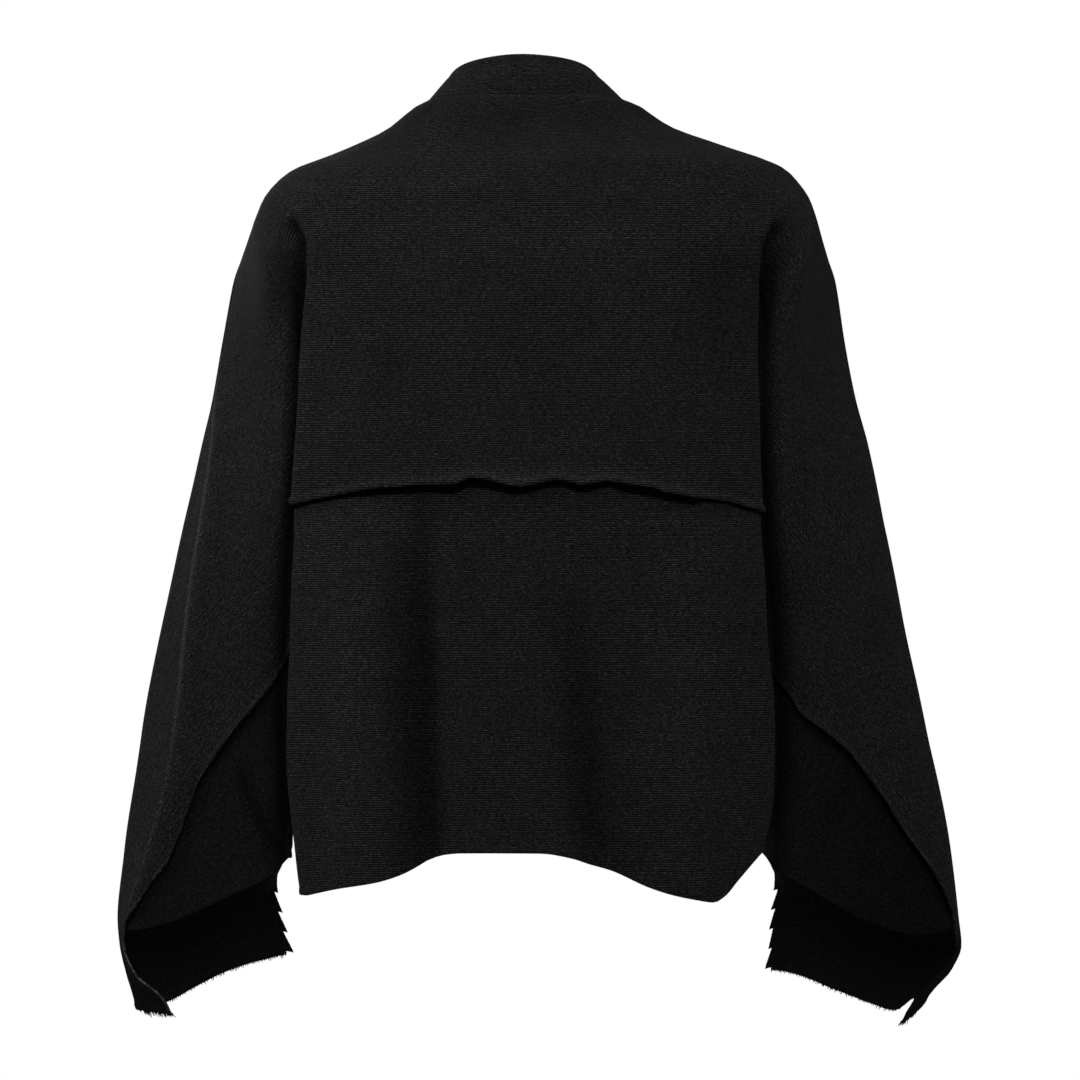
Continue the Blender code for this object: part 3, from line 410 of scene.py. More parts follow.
def surface(side, t, drop, of_sleeve=None):
    """The outer face of the whole garment at (t, drop), in millimetres.

    of_sleeve is needed below the armpit, where body and sleeve part at the groove."""
    t, drop = (np.atleast_1d(np.asarray(v, float)) for v in np.broadcast_arrays(t, drop))
    if of_sleeve is None:
        of_sleeve = (t >= GROOVE) & (t <= 2 - GROOVE)
    of_sleeve = np.broadcast_to(of_sleeve, t.shape)
    level = np.maximum(drop, SHOULDER_DROP)
    xy = np.where(of_sleeve[:, None], level_section(side, t, level, True),
                  level_section(side, t, level, False))
    ring = neck_ring(side, t)
    top = neck_top(t)
    w = (drop - top) / (SHOULDER_DROP - top)
    first = SHOULDER[1][0]
    line, start, end = (column(SHOULDER, SIDES[side], level) for level in (
        first + np.clip(w, 0, 1) * (SHOULDER_DROP - first), first, SHOULDER_DROP))
    spread = (line - start) / (end - start) + np.minimum(w, 0) * 2.0
    capped = ring + (xy - ring) * spread[:, None]
    xy = np.where((drop < SHOULDER_DROP)[:, None], capped, xy)
    x = xy[:, 0] * side
    on_back = (t < GROOVE) & ~of_sleeve
    xy[:, 1] -= np.where(on_back, troughs(x, drop), 0.0)
    return np.stack([x, xy[:, 1], -drop], axis=1)


def outward(side, t, drop, of_sleeve=None):
    """Unit normals that point out of the garment."""
    t, drop = (np.atleast_1d(np.asarray(v, float)) for v in np.broadcast_arrays(t, drop))
    if of_sleeve is None:
        sleeve = one_side_normals(side, t, drop, True)
        body = one_side_normals(side, t, drop, False)
        share = (t >= GROOVE) & (t <= 2 - GROOVE)
        share = np.where(np.isclose(t, GROOVE) | np.isclose(t, 2 - GROOVE), 0.5, share)[:, None]
        normal = sleeve * share + body * (1 - share)
    else:
        normal = one_side_normals(side, t, drop, of_sleeve)
    off = np.minimum(np.abs(t - GROOVE), np.abs(t - (2 - GROOVE)))
    level = ease(0.05, 0.01, off) * ease(ARMPIT_DROP, ARMPIT_DROP + 4, drop) * (
        drop < CUFF_OPEN_DROP)
    normal[:, 1] *= 1 - level
    saddle = ease(0.02, 0.0, off) * ease(382, 398, drop) * (drop < ARMPIT_DROP + 0.01)
    normal[:, 1] *= 1 - saddle
    normal[:, 2] -= saddle
    return unit(normal)


def one_side_normals(side, t, drop, of_sleeve):
    """Normals of either the sleeve's or the body's own surface."""
    dt, dd = 0.004, 0.8
    across = surface(side, t + dt, drop, of_sleeve) - surface(side, t - dt, drop, of_sleeve)
    down = surface(side, t, drop + dd, of_sleeve) - surface(side, t, drop - dd, of_sleeve)
    return unit(np.cross(across, down) * side)


def meet(side, t, line, low, high):
    """Drop at which the sleeve's line t crosses a line given as x and drop from behind."""
    low, high = np.full(len(t), float(low)), np.full(len(t), float(high))
    for _ in range(34):
        middle = (low + high) / 2
        x = np.abs(surface(side, t, middle, True)[:, 0])
        above = middle < smooth(line, x)
        low, high = np.where(above, middle, low), np.where(above, high, middle)
    return (low + high) / 2


def lip_drop(side, t):
    """Drop of the rolled edge of the upper back at t."""
    t = np.asarray(t, float)
    body = smooth(LIP_BACK, surface(side, np.minimum(t, 0.36), LIP_LEVEL, False)[:, 0])
    body = body + (LIP_ARMPIT - smooth(LIP_BACK, side * 196.0)) * ease(0.33, GROOVE, t)
    knots = np.linspace(0.56, 1.0, 45)[:-1]
    arm = meet(side, knots, LIP_SLEEVE[side], LIP_ARMPIT, LIP_CORNER)
    rows = [(GROOVE, LIP_ARMPIT), *zip(knots, arm), (1.0, LIP_CORNER)]
    return np.where(t < GROOVE, body, smooth(rows, t))


def flare(x, t, up):
    """How far the rolled edge stands off the panel, at a height above its edge."""
    size = smooth(LIP_FLARE, x) * ease(0.5, 0.36, t) + SLEEVE_FLARE * ease(0.5, 0.6, t)
    return size * ease(1.15 * LIP_DEPTH, 0.0, up) * ease(1.0, 0.96, t)


# x of the sharp crease between body and sleeve as seen from behind
CREASE = (
    ("drop", "left", "right"),
    (98, 203, 204), (104, 199, 201), (110, 197.4, 199.5), (117, 193.0, 197.5),
    (125, 189.8, 193.6), (135, 190.0, 191.6), (150, 190.7, 191.2), (187, 193.2, 191.5),
    (221, 194.4, 191.5), (260, 196, 191.7), (344, 201, 193), (400, 204.5, 197),
    (520, 208, 204.5), (620, 204, 200),
)


ARC_DROPS = np.linspace(3, 780, 112)
ARC_STEPS = 61          # places across at each of them
ARC_SEEN = 40           # of which the crease lies within the first so many
SLEEVE_START = 260.0    # length along a course at which the sleeve begins


def arc_lengths(side, t_from, t_to, on_sleeve):
    """Lengths along the cloth at each level, from the line t_from towards the line t_to, and
    on a sleeve from where it comes into sight beside the body."""
    t, drop = np.meshgrid(np.linspace(t_from, t_to, ARC_STEPS), ARC_DROPS)
    drop = np.maximum(drop, neck_top(t))
    points = surface(side, t.ravel(), drop.ravel(), on_sleeve).reshape(t.shape + (3,))
    steps = np.linalg.norm(np.diff(points[..., :2], axis=1), axis=2)
    lengths = np.concatenate([np.zeros((len(t), 1)), np.cumsum(steps, axis=1)], axis=1)
    if on_sleeve:
        below = ease(90.0, 112.0, ARC_DROPS)
        for row, seen in enumerate(column(CREASE, SIDES[side], drop[:, -1])):
            out = np.maximum.accumulate(np.abs(points[row, :ARC_SEEN, 0]))
            out += np.arange(ARC_SEEN) * 1e-4
            start = np.interp(seen, out, lengths[row, :ARC_SEEN]) - max(0.0, out[0] - seen)
            lengths[row] -= start * below[row]
    return lengths


def read_arc(lengths, share, drop):
    """Looks a length up at a share 0 to 1 of its lines and a drop."""
    a = np.clip(share, 0, 1) * (ARC_STEPS - 1)
    b = np.interp(drop, ARC_DROPS, np.arange(len(ARC_DROPS)))
    i = np.minimum(a.astype(int), ARC_STEPS - 2)
    j = np.minimum(b.astype(int), len(ARC_DROPS) - 2)
    fa, fb = a - i, b - j
    return ((lengths[j, i] * (1 - fa) + lengths[j, i + 1] * fa) * (1 - fb)
            + (lengths[j + 1, i] * (1 - fa) + lengths[j + 1, i + 1] * fa) * fb)


ARCS = {}
for side in SIDES:
    ARCS[side, "back", "body"] = arc_lengths(side, 0.0, GROOVE, False)
    ARCS[side, "back", "sleeve"] = arc_lengths(side, GROOVE, 1.0, True)
    ARCS[side, "front", "body"] = arc_lengths(side, 2.0, 2 - GROOVE, False)
    ARCS[side, "front", "sleeve"] = arc_lengths(side, 2 - GROOVE, 1.0, True)
COURSE_TURN = np.radians(52.0)      # how far the courses bend down along the sleeve
COURSE_PIVOT = 112.0    # drop of the pucker that the courses turn round


def knit_place(side, t, drop, half, on_sleeve):
    """Place on the knit: millimetres along the course, and across the courses.

    The courses are level on the body, turn round the pucker and run down the sleeve."""
    around = t if half == "back" else 2 - t
    body = read_arc(ARCS[side, half, "body"], around / GROOVE, drop)
    out = read_arc(ARCS[side, half, "sleeve"], (around - GROOVE) / (1 - GROOVE), drop)
    low = surface(side, t, np.maximum(drop, SHOULDER_DROP), on_sleeve)
    here = surface(side, t, drop, on_sleeve)
    beyond = np.abs(here[:, 0]) - column(CREASE, SIDES[side], drop)
    taken = ~on_sleeve & (beyond > 0) & (drop < 300) & (half == "back")
    out = np.where(on_sleeve, out, np.where(taken, beyond, 0.0))
    on_sleeve = on_sleeve | taken
    inward = np.abs(low - here)
    over = 0.6 * ease(0.5, 0.95, around) * inward[:, 0]
    rise = np.where(drop < SHOULDER_DROP, np.hypot(SHOULDER_DROP - drop, over)
                    + 0.8 * inward[:, 1], 0.0)
    up = COURSE_PIVOT - np.maximum(drop, SHOULDER_DROP) + rise
    angle = np.arctan2(out, np.maximum(up, 1e-6))
    angle = np.where(up <= 0, np.where(out > 0.5, np.pi / 2, 0.0), angle)
    turned = np.clip(angle, 0, COURSE_TURN)
    across = np.where(angle <= COURSE_TURN, np.where(out > 0, np.hypot(out, up), up),
                      out * np.sin(COURSE_TURN) + up * np.cos(COURSE_TURN))
    past = np.where(angle <= COURSE_TURN, 0.0,
                    out * np.cos(COURSE_TURN) - up * np.sin(COURSE_TURN))
    onward = np.where(out < 0, out, np.maximum(across, 0) * turned + past)
    along = np.where(on_sleeve, SLEEVE_START + onward, body)
    return np.stack([along * side, across], axis=1)


def fold_depth(points, folds):
    """How deep the folds are at each point; each fold is a half width, or one for each side
    in x, and a line of x, z and depth as seen square on, minus for a ridge."""
    total = np.zeros(len(points))
    for half_width, line in folds:
        minus, plus = half_width if isinstance(half_width, tuple) else (half_width,) * 2
        best = np.zeros(len(points))
        for (x0, z0, d0), (x1, z1, d1) in zip(line[:-1], line[1:]):
            dx, dz = x1 - x0, z1 - z0
            s = np.clip(((points[:, 0] - x0) * dx + (points[:, 2] - z0) * dz)
                        / (dx * dx + dz * dz), 0, 1)
            beside = points[:, 0] - x0 - s * dx
            gap = np.hypot(beside, points[:, 2] - z0 - s * dz)
            width = np.where(beside < 0, minus, plus)
            depth = (d0 + s * (d1 - d0)) * np.exp(-(gap / width) ** 2)
            best = np.where(np.abs(depth) > np.abs(best), depth, best)
        total += best
    return total


SWELL = 0.35            # size of the soft swell in all the cloth


def uneven(points, size):
    """The slight unevenness of hanging knit, a soft swell of a few tenths of a millimetre."""
    x, y, z = points.T
    return size * (np.sin(x / 19 + z / 47 + 1.3) * np.sin(z / 31 - x / 71 + y / 40)
                   + 0.6 * np.sin(z / 17 - x / 23 + 2.1) * np.sin(x / 37 + z / 53 + y / 29))


METRES = 0.001          # to a millimetre
# painted shade on the inner face of the cloth
INSIDE_SHADE = 0.7       # the inside of the knit against its outer face
INSIDE_CLARITY = 0.45   # and how clearly its stitches show


def make_piece(name, verts, faces, place, tone, clarity):
    """A smooth piece with its places on the knit, tones and clarity at each corner."""
    mesh = bpy.data.meshes.new(name)
    mesh.from_pydata(verts * METRES, [], faces)
    corner = np.zeros(len(mesh.loops), np.int32)
    mesh.loops.foreach_get("vertex_index", corner)
    mesh.uv_layers.new(name="knit").data.foreach_set(
        "uv", place[corner].astype(np.float32).ravel())
    for label, values in (("tone", tone), ("clarity", clarity)):
        mesh.attributes.new(label, "FLOAT", "POINT").data.foreach_set(
            "value", values.astype(np.float32))
    mesh.shade_smooth()
    piece = bpy.data.objects.new(name, mesh)
    bpy.context.scene.collection.objects.link(piece)
    return piece


def sew(name, patches, wall=WALL, rounding=0.3):
    """One cut piece of cloth from patches of (points, normals, knit places, tones): an outer face,
    an inner face a wall's thickness in, painted darker as shade, and a rounded cut edge."""
    quads, first = [], 0
    for p, n, _, _ in patches:
        index = np.arange(p[..., 0].size).reshape(p.shape[:2])
        quad = np.stack([index[:-1, :-1], index[:-1, 1:], index[1:, 1:], index[1:, :-1]],
                        axis=-1).reshape(-1, 4)
        p, n = p.reshape(-1, 3), n.reshape(-1, 3)
        facing = np.cross(p[quad[:, 2]] - p[quad[:, 0]], p[quad[:, 3]] - p[quad[:, 1]])
        if np.einsum("ij,ij->", facing, n[quad[:, 0]]) < 0:
            quad = quad[:, ::-1]
        quads.append(quad + first)
        first += len(p)
    points, normals, places, tones = (np.concatenate([
        field.reshape((-1,) + field.shape[2:]) for field in fields]) for fields in zip(*patches))
    _, keep, merged = np.unique(np.round(points * 50).astype(np.int64), axis=0,
                                return_index=True, return_inverse=True)
    quads = merged.reshape(-1)[np.concatenate(quads)]
    points, normals, places, tones = points[keep], normals[keep], places[keep], tones[keep]
    count = len(points)
    start, end = quads.ravel(), np.roll(quads, -1, axis=1).ravel()
    free = ~np.isin(start * count + end, end * count + start)
    a, b = start[free], end[free]
    out = unit(np.cross(points[b] - points[a], normals[a] + normals[b]))
    away = np.zeros_like(points)
    np.add.at(away, a, out)
    np.add.at(away, b, out)
    rim = np.unique(np.concatenate([a, b]))
    slot = np.full(count, -1)
    slot[rim] = np.arange(len(rim)) + 2 * count
    outer = points - unit(away) * wall * rounding
    middle = points[rim] - normals[rim] * wall * 0.5
    faces = np.concatenate([
        quads, quads[:, ::-1] + count,
        np.stack([b, a, slot[a], slot[b]], axis=1),
        np.stack([slot[b], slot[a], a + count, b + count], axis=1)])
    # the courses are fainter in strong light and on top of the shoulders
    shoulder_top = ease(0.5, 0.75, normals[:, 2]) * ease(80.0, 120.0, np.abs(points[:, 0]))
    clarity = np.clip(1.9 - 0.6 * tones, 0.25, 1.0) * (1 - 0.5 * shoulder_top)
    return make_piece(
        name, np.concatenate([outer, outer - normals * wall, middle]), faces.tolist(),
        np.concatenate([places, places, places[rim]]),
        np.concatenate([tones, tones * INSIDE_SHADE, tones[rim]]),
        np.concatenate([clarity, np.full(count, INSIDE_CLARITY), np.ones(len(rim))]))


class Wire:
    """A value in a shader tree; each sum done with it adds one maths node."""

    def __init__(self, socket):
        self.socket = socket

    def sum(self, operation, *others):
        tree = self.socket.id_data
        node = tree.nodes.new("ShaderNodeMath")
        node.operation = operation
        for place, value in zip(node.inputs, (self,) + others):
            if isinstance(value, Wire):
                tree.links.new(value.socket, place)
            else:
                place.default_value = value
        return Wire(node.outputs[0])

    def __add__(self, other):
        return self.sum("ADD", other)

    def __sub__(self, other):
        return self.sum("SUBTRACT", other)

    def __mul__(self, other):
        return self.sum("MULTIPLY", other)

    def __truediv__(self, other):
        return self.sum("DIVIDE", other)


# the knit itself: rows of small purl loops, each course shifted along the one below
KNIT = bpy.data.node_groups.new("Purl courses", "ShaderNodeTree")
GAUGE = ("Course height", "Stitch width", "Waver", "Fuzz", "Contrast")
for label in GAUGE + ("Clarity",):
    KNIT.interface.new_socket(label, in_out="INPUT", socket_type="NodeSocketFloat")
for label, way, kind in (("Place", "INPUT", "Vector"), ("Yarn", "INPUT", "Color"),
                         ("Colour", "OUTPUT", "Color"), ("Height", "OUTPUT", "Float")):
    KNIT.interface.new_socket(label, in_out=way, socket_type="NodeSocket" + kind)
given = KNIT.nodes.new("NodeGroupInput").outputs
parts = KNIT.nodes.new("ShaderNodeSeparateXYZ")
KNIT.links.new(given["Place"], parts.inputs[0])
course_height, stitch_width, wavering, fuzziness, contrast, clarity = (
    Wire(given[label]) for label in GAUGE + ("Clarity",))


def grain(along, across, detail=2.0, roughness=0.5):
    """A noise value with its own cycles to the millimetre along and across the courses."""
    scaled = KNIT.nodes.new("ShaderNodeVectorMath")
    scaled.operation = "MULTIPLY"
    scaled.inputs[1].default_value = (along, across, 1.0)
    KNIT.links.new(given["Place"], scaled.inputs[0])
    noise = KNIT.nodes.new("ShaderNodeTexNoise")
    noise.noise_dimensions = "2D"
    for label, value in (("Scale", 1.0), ("Detail", detail), ("Roughness", roughness)):
        noise.inputs[label].default_value = value
    KNIT.links.new(scaled.outputs[0], noise.inputs["Vector"])
    return Wire(noise.outputs["Fac"])


def chance(first, second):
    """A number from 0 to 1 that changes from stitch to stitch."""
    joined = KNIT.nodes.new("ShaderNodeCombineXYZ")
    KNIT.links.new(first.socket, joined.inputs[0])
    KNIT.links.new(second.socket, joined.inputs[1])
    noise = KNIT.nodes.new("ShaderNodeTexWhiteNoise")
    noise.noise_dimensions = "2D"
    KNIT.links.new(joined.outputs[0], noise.inputs["Vector"])
    return Wire(noise.outputs["Value"])


waver = (grain(0.05, 0.08) - 0.5) * wavering
course = (Wire(parts.outputs[1]) + waver) / course_height
row = course.sum("FLOOR")
stitch = (Wire(parts.outputs[0]) + waver) / stitch_width + chance(row, row * 0.37)
bead = (stitch * (2 * np.pi)).sum("COSINE") * 0.5 + 0.5
crown = ((bead * 0.22 + course).sum("FRACT") * np.pi).sum("SINE")
loop = crown * (bead * 0.45 + 0.55)
fuzz = grain(0.66, 0.9, 2.0, 0.6)
streak = grain(0.26, 0.62, 2.0, 0.55)
height = loop + (fuzz + streak - 1.0) * fuzziness
ribbed = ((loop - 0.5) * contrast + 1.0).sum("MAXIMUM", 0.06)
odd = chance(stitch.sum("FLOOR"), row) * 0.7 + 0.65
patchy = ((grain(0.016, 0.022, 1.0) - 0.42) * 3.0).sum("MAXIMUM", 0.0) * 0.2
pairs = (course * np.pi).sum("SINE") * patchy + 1.0
mottle = grain(0.03, 0.04, 3.0) * 0.5 + 0.75
grainy = (((streak - 0.5) * 2.6 + 1.0) * ((fuzz - 0.5) * 2.8 + 1.0)).sum("MAXIMUM", 0.12)
tone = (ribbed * (odd * pairs) * mottle * grainy - 1.0) * clarity + 1.0
coloured = KNIT.nodes.new("ShaderNodeVectorMath")
coloured.operation = "SCALE"
KNIT.links.new(given["Yarn"], coloured.inputs[0])
KNIT.links.new(tone.socket, coloured.inputs["Scale"])
result = KNIT.nodes.new("NodeGroupOutput").inputs
KNIT.links.new(coloured.outputs[0], result["Colour"])
KNIT.links.new(height.socket, result["Height"])


def black_knit(name, yarn, gauge, relief):
    """Matt black knit with its own gauge: course height, stitch width, waver, fuzz and contrast.
    Its tone is painted light and shade; where it paints shade, the cloth shines less too."""
    material = bpy.data.materials.new(name)
    material.use_nodes = True
    tree = material.node_tree
    nodes, join = tree.nodes, tree.links.new
    given = nodes["Principled BSDF"].inputs
    place = nodes.new("ShaderNodeUVMap")
    place.uv_map = "knit"
    tone, clear = nodes.new("ShaderNodeAttribute"), nodes.new("ShaderNodeAttribute")
    tone.attribute_name, clear.attribute_name = "tone", "clarity"
    shaded_yarn = nodes.new("ShaderNodeVectorMath")
    shaded_yarn.operation = "SCALE"
    shaded_yarn.inputs[0].default_value = yarn
    join(tone.outputs["Fac"], shaded_yarn.inputs["Scale"])
    knit = nodes.new("ShaderNodeGroup")
    knit.node_tree = KNIT
    join(place.outputs[0], knit.inputs["Place"])
    join(shaded_yarn.outputs[0], knit.inputs["Yarn"])
    join(clear.outputs["Fac"], knit.inputs["Clarity"])
    for label, value in zip(GAUGE, gauge):
        knit.inputs[label].default_value = value
    bump = nodes.new("ShaderNodeBump")
    bump.inputs["Strength"].default_value = 1.0
    bump.inputs["Distance"].default_value = relief * METRES
    join(knit.outputs["Height"], bump.inputs["Height"])
    join(bump.outputs["Normal"], given["Normal"])
    join(knit.outputs["Colour"], given["Base Color"])
    given["Roughness"].default_value = 0.95
    given["Sheen Roughness"].default_value = 0.5
    # painted shade also dims the shine and the sheen
    lit = Wire(tone.outputs["Fac"]).sum("MINIMUM", 1.0)
    join((lit * 0.12).socket, given["Specular IOR Level"])
    join((lit * 0.02).socket, given["Sheen Weight"])
    return material


BODY_YARN = (0.0121, 0.0121, 0.0125)


def body_knit(name, waver=0.8):
    """The knit of the backs and the fronts."""
    return black_knit(name, BODY_YARN, (1.9, 1.75, waver, 0.4, 3.3), 0.65)


def declare(piece, node, material):
    """Puts the cloth in its CAD node's place: gives it its material, hangs it on the root and
    hides the node.
    """
    piece.data.materials.append(material)
    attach(piece, "root")
    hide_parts(node)


# folds of the upper back: half width, or one to each side, and x, z and depth along the fold
BACK_FOLDS = (
    (34.0, ((-150, -120, 0), (-160, -165, 2.4), (-158, -215, 2.0), (-150, -270, 0))),
    (5.0, ((184, -93, 0), (195.7, -101.6, -2.6), (203, -107, 0))),
    ((2.5, 7.0), ((199, -104, 0), (197.4, -110, 4.5), (189.8, -125, 4.0), (190.7, -150, 3.0),
                  (193.2, -187, 2.0), (194.4, -221, 0.5))),
    ((7.0, 2.5), ((-200, -108, 0), (-198.2, -115, 3.5), (-192.4, -128, 4.0),
                  (-191.2, -146, 3.0), (-191.5, -172, 2.0), (-191.5, -221, 0.5))),
    (9.0, ((206, -150, 0), (205, -200, -3.0), (206, -300, -3.5), (210, -390, -1.0))),
    (9.0, ((-205, -150, 0), (-203, -200, -3.0), (-203, -300, -3.5), (-206, -390, -1.0))),
    (26.0, ((120, -150, 0), (118, -240, 1.2), (105, -315, 0.6))),
    (40.0, ((-20, -90, 0), (-10, -190, 1.5), (5, -290, 0))),
)
CREASE_REACH = {1: 8.0, -1: 11.0}       # how far the crease's shade reaches on to the sleeve
CREASE_SHADE = ((110, 125, 260, 344, 420, 600), (0.9, 0.85, 0.8, 1.2, 1.2, 0.6))    # by drop
MIRROR = np.array([0.0, 1.0, 1.0])


def back_shape(side, t, drop, on_sleeve, folds, inset=0.0):
    """Points, normals and tones of the back's outer face with its folds laid in."""
    points = surface(side, t, drop, on_sleeve)
    normals = outward(side, t, drop, on_sleeve)
    middle = np.isclose(t, 0.0)
    if middle.any():        # both halves meet in one smooth line
        across = -side, t[middle], drop[middle]
        points[middle] = (points[middle] + surface(*across)) / 2 * MIRROR
        normals[middle] = unit((normals[middle] + outward(*across)) * MIRROR)
    laid = fold_depth(points, folds)
    # painted shade in the folds' valleys and painted light on their ridges
    tone = np.exp(-0.08 * laid)
    sleeve = t >= GROOVE if on_sleeve is None else on_sleeve
    # painted shade in the troughs of the lower back
    tone *= np.where(sleeve, 1.0, np.exp(-0.03 * troughs(points[:, 0], drop)))
    # painted shade beside the crease between body and sleeve
    past = np.abs(points[:, 0]) - column(CREASE, SIDES[side], drop)
    dark = np.exp(-(past / np.where(past < 0, 1.0, CREASE_REACH[side])) ** 2)
    tone *= np.exp(-dark * ease(103, 112, drop) * np.interp(drop, *CREASE_SHADE))
    # darker towards the neck seam
    tone *= 1 - 0.27 * ease(85.0, 30.0, drop)
    depth = laid + uneven(points, SWELL) + inset
    return points - normals * depth[:, None], normals, tone


# heights of the last rows above the rolled edge
LIP_STEPS = (0, 0.7, 1.5, 2.4, 3.4, 4.5, 5.7, 7.0, 8.4, 10, 12, 14.5, 18)


def roll(up, size):
    """The rolled band at a free edge: a bead with a shallow groove above it."""
    bead, groove = np.exp(-((up - 2.8) / 2.6) ** 2), np.exp(-((up - 8.0) / 2.5) ** 2)
    return size * (1.5 * bead - 0.5 * groove)


# how strong the painted highlight along the seam at the top of the arm is, by drop
CREST_LIGHT = {
    1: ((105, 0.0), (215, 0.2), (245, 2.0), (470, 2.0), (540, 1.0), (690, 0.8),
        (704, 1.0), (714, 12.0), (750, 12.0), (766, 3.0)),
    -1: ((105, 0.1), (300, 0.3), (690, 0.2)),
}


def seam_highlight(points, shape, column_at, side):
    """Painted highlight along the seam at the top of the arm, around one column of a patch."""
    [grid] = gridded(shape, points)
    drop = -points[:, 2]
    away = np.linalg.norm(grid - grid[:, column_at][:, None], axis=2).ravel()
    width = 2.0 - 0.9 * ease(704, 714, drop)
    glow = np.exp(-(away / width) ** 2) + (0.16 * np.exp(-away / 8.0) if column_at else 0.0)
    return 1 + np.interp(drop, *zip(*CREST_LIGHT[side])) * glow


def inward(side, t, drop, step):
    """Direction along the sleeve's cloth from t, a step on."""
    return unit(surface(side, t + step, drop, True) - surface(side, t, drop, True))


def upper_back_patch(side):
    """Half of the upper back, from its middle over the sleeve to the seam along the arm."""
    t_line = np.append(runs((0, 0.30, 32), (0.30, 0.46, 20), (0.46, 0.57, 38), (0.57, 0.98, 42)),
                       [0.986, 0.991, 0.995, 0.998, 1.0])
    lip = lip_drop(side, t_line)
    top = neck_top(t_line)
    shares = runs((0, 0.22, 24), (0.22, 0.46, 46), (0.46, 1, 48))[:, None]
    above = np.broadcast_to(np.array(LIP_STEPS, float)[::-1, None], (len(LIP_STEPS), len(lip)))
    drop = np.concatenate([top + (lip - 20.0 - top) * shares, lip - above])
    shape = drop.shape
    t, above = np.broadcast_to(t_line, shape).ravel(), (lip - drop).ravel()
    drop = drop.ravel()
    x = surface(side, t, drop)[:, 0]
    off = 0.7 * flare(x, t, above) + roll(above, ease(0.5, 0.4, t) + 0.8 * ease(0.5, 0.58, t))
    points, normals, tone = back_shape(side, t, drop, None, BACK_FOLDS, -off * ease(1.0, 0.97, t))
    # painted highlight on the rolled band just above the free edge
    tone *= 1 + 0.3 * np.exp(-((above - 2.0) / 2.2) ** 2) * ease(0.5, 0.4, t)
    # a broken line of painted highlight along the lapped edge down the sleeve
    broken = 0.5 + 0.5 * np.sin(t * 190) * np.sin(t * 71 + 1)
    tone *= 1 + 0.9 * broken * np.exp(-((above - 1.6) / 1.3) ** 2) * ease(0.52, 0.62, t)
    tone *= seam_highlight(points, shape, -1, side)
    seam = np.isclose(t, 1.0)
    raised = np.interp(drop[seam], (200, 260, 600, LIP_CORNER), (0, 0.9, 0.9, 0.3))[:, None]
    points[seam] += inward(side, t[seam], drop[seam], -0.01) * (SEAM_GAP / 2 - raised)
    points[seam] += normals[seam] * 0.6 * raised
    place = knit_place(side, t, drop, "back", t >= GROOVE)
    return gridded(shape, points, normals, place, tone)


upper_back = sew("upper_back_knit", [upper_back_patch(side) for side in SIDES], WALL, CRISP)
declare(upper_back, "upper_back", body_knit("upper back knit", 0.7))

# ---- Lower back ---------------------------------------------------------------------------
# The panel that hangs from under the rolled edge, in the same knit with level courses.  Two
# soft troughs fall down it, and its hem rises in an arch between two lower corners.

HEM_BACK = (
    (-193, 631), (-189, 635), (-180, 646.5), (-172, 657), (-165, 666.5), (-155, 672.5),
    (-138, 670), (-117, 665.5), (-98, 659.5), (-86, 654.5), (-75, 649.5), (-63, 644.5),
    (-48, 640), (-33, 635.2), (-6, 631), (35, 630.8), (60, 631), (73, 632.2), (83, 635),
    (97, 643.2), (111, 649.5), (131, 655.5), (166, 661.5), (192, 667.5),
)
HEM_SIDE = {1: 632.0, -1: 625.0}         # drop of the hem at its outer ends
LOWER_FOLDS = (
    ((7.0, 19.0), ((87, -330, 0), (88, -350, 3.0), (87, -430, 5.5), (85, -520, 6.5),
                   (83, -600, 6.5), (81, -660, 4.0))),
    (15.0, ((-37, -400, 0), (-38, -440, 2.0), (-41, -506, 3.6), (-46, -557, 4.6),
            (-48, -600, 4.6), (-56, -645, 2.5))),
    (18.0, ((-74, -430, 0), (-77, -500, 1.2), (-76, -640, 1.2))),
    (26.0, ((152, -350, -1.5), (154, -430, -2.8), (152, -560, -2.8), (150, -660, -1.6))),
    (10.0, ((113, -350, 0), (112, -450, 1.2), (108, -640, 1.5))),
    (28.0, ((-118, -380, -1.0), (-126, -470, -2.4), (-126, -580, -2.2), (-122, -640, -1.4))),
)
# height of the hollow below the rolled edge, by x, its rows from the edge down, and the rows
# of the panel's brim below it
LIP_HOLLOW = (
    (-195, 1.7), (-141, 1.7), (-132, 6.5), (-76, 6.8), (-63, 4.6), (-54, 5.4), (-6, 5.5),
    (14, 5.9), (36, 7.4), (74, 7.4), (87, 5.9), (121, 5.9), (134, 5.5), (156, 3.4), (179, 2.5),
    (200, 3.2),
)
HOLLOW_ROWS = (-6, -2, 0, 1, 2)
BRIM_ROWS = (-0.7, -0.2, 0.3, 0.9, 1.8, 3.2, 5.5, 9)


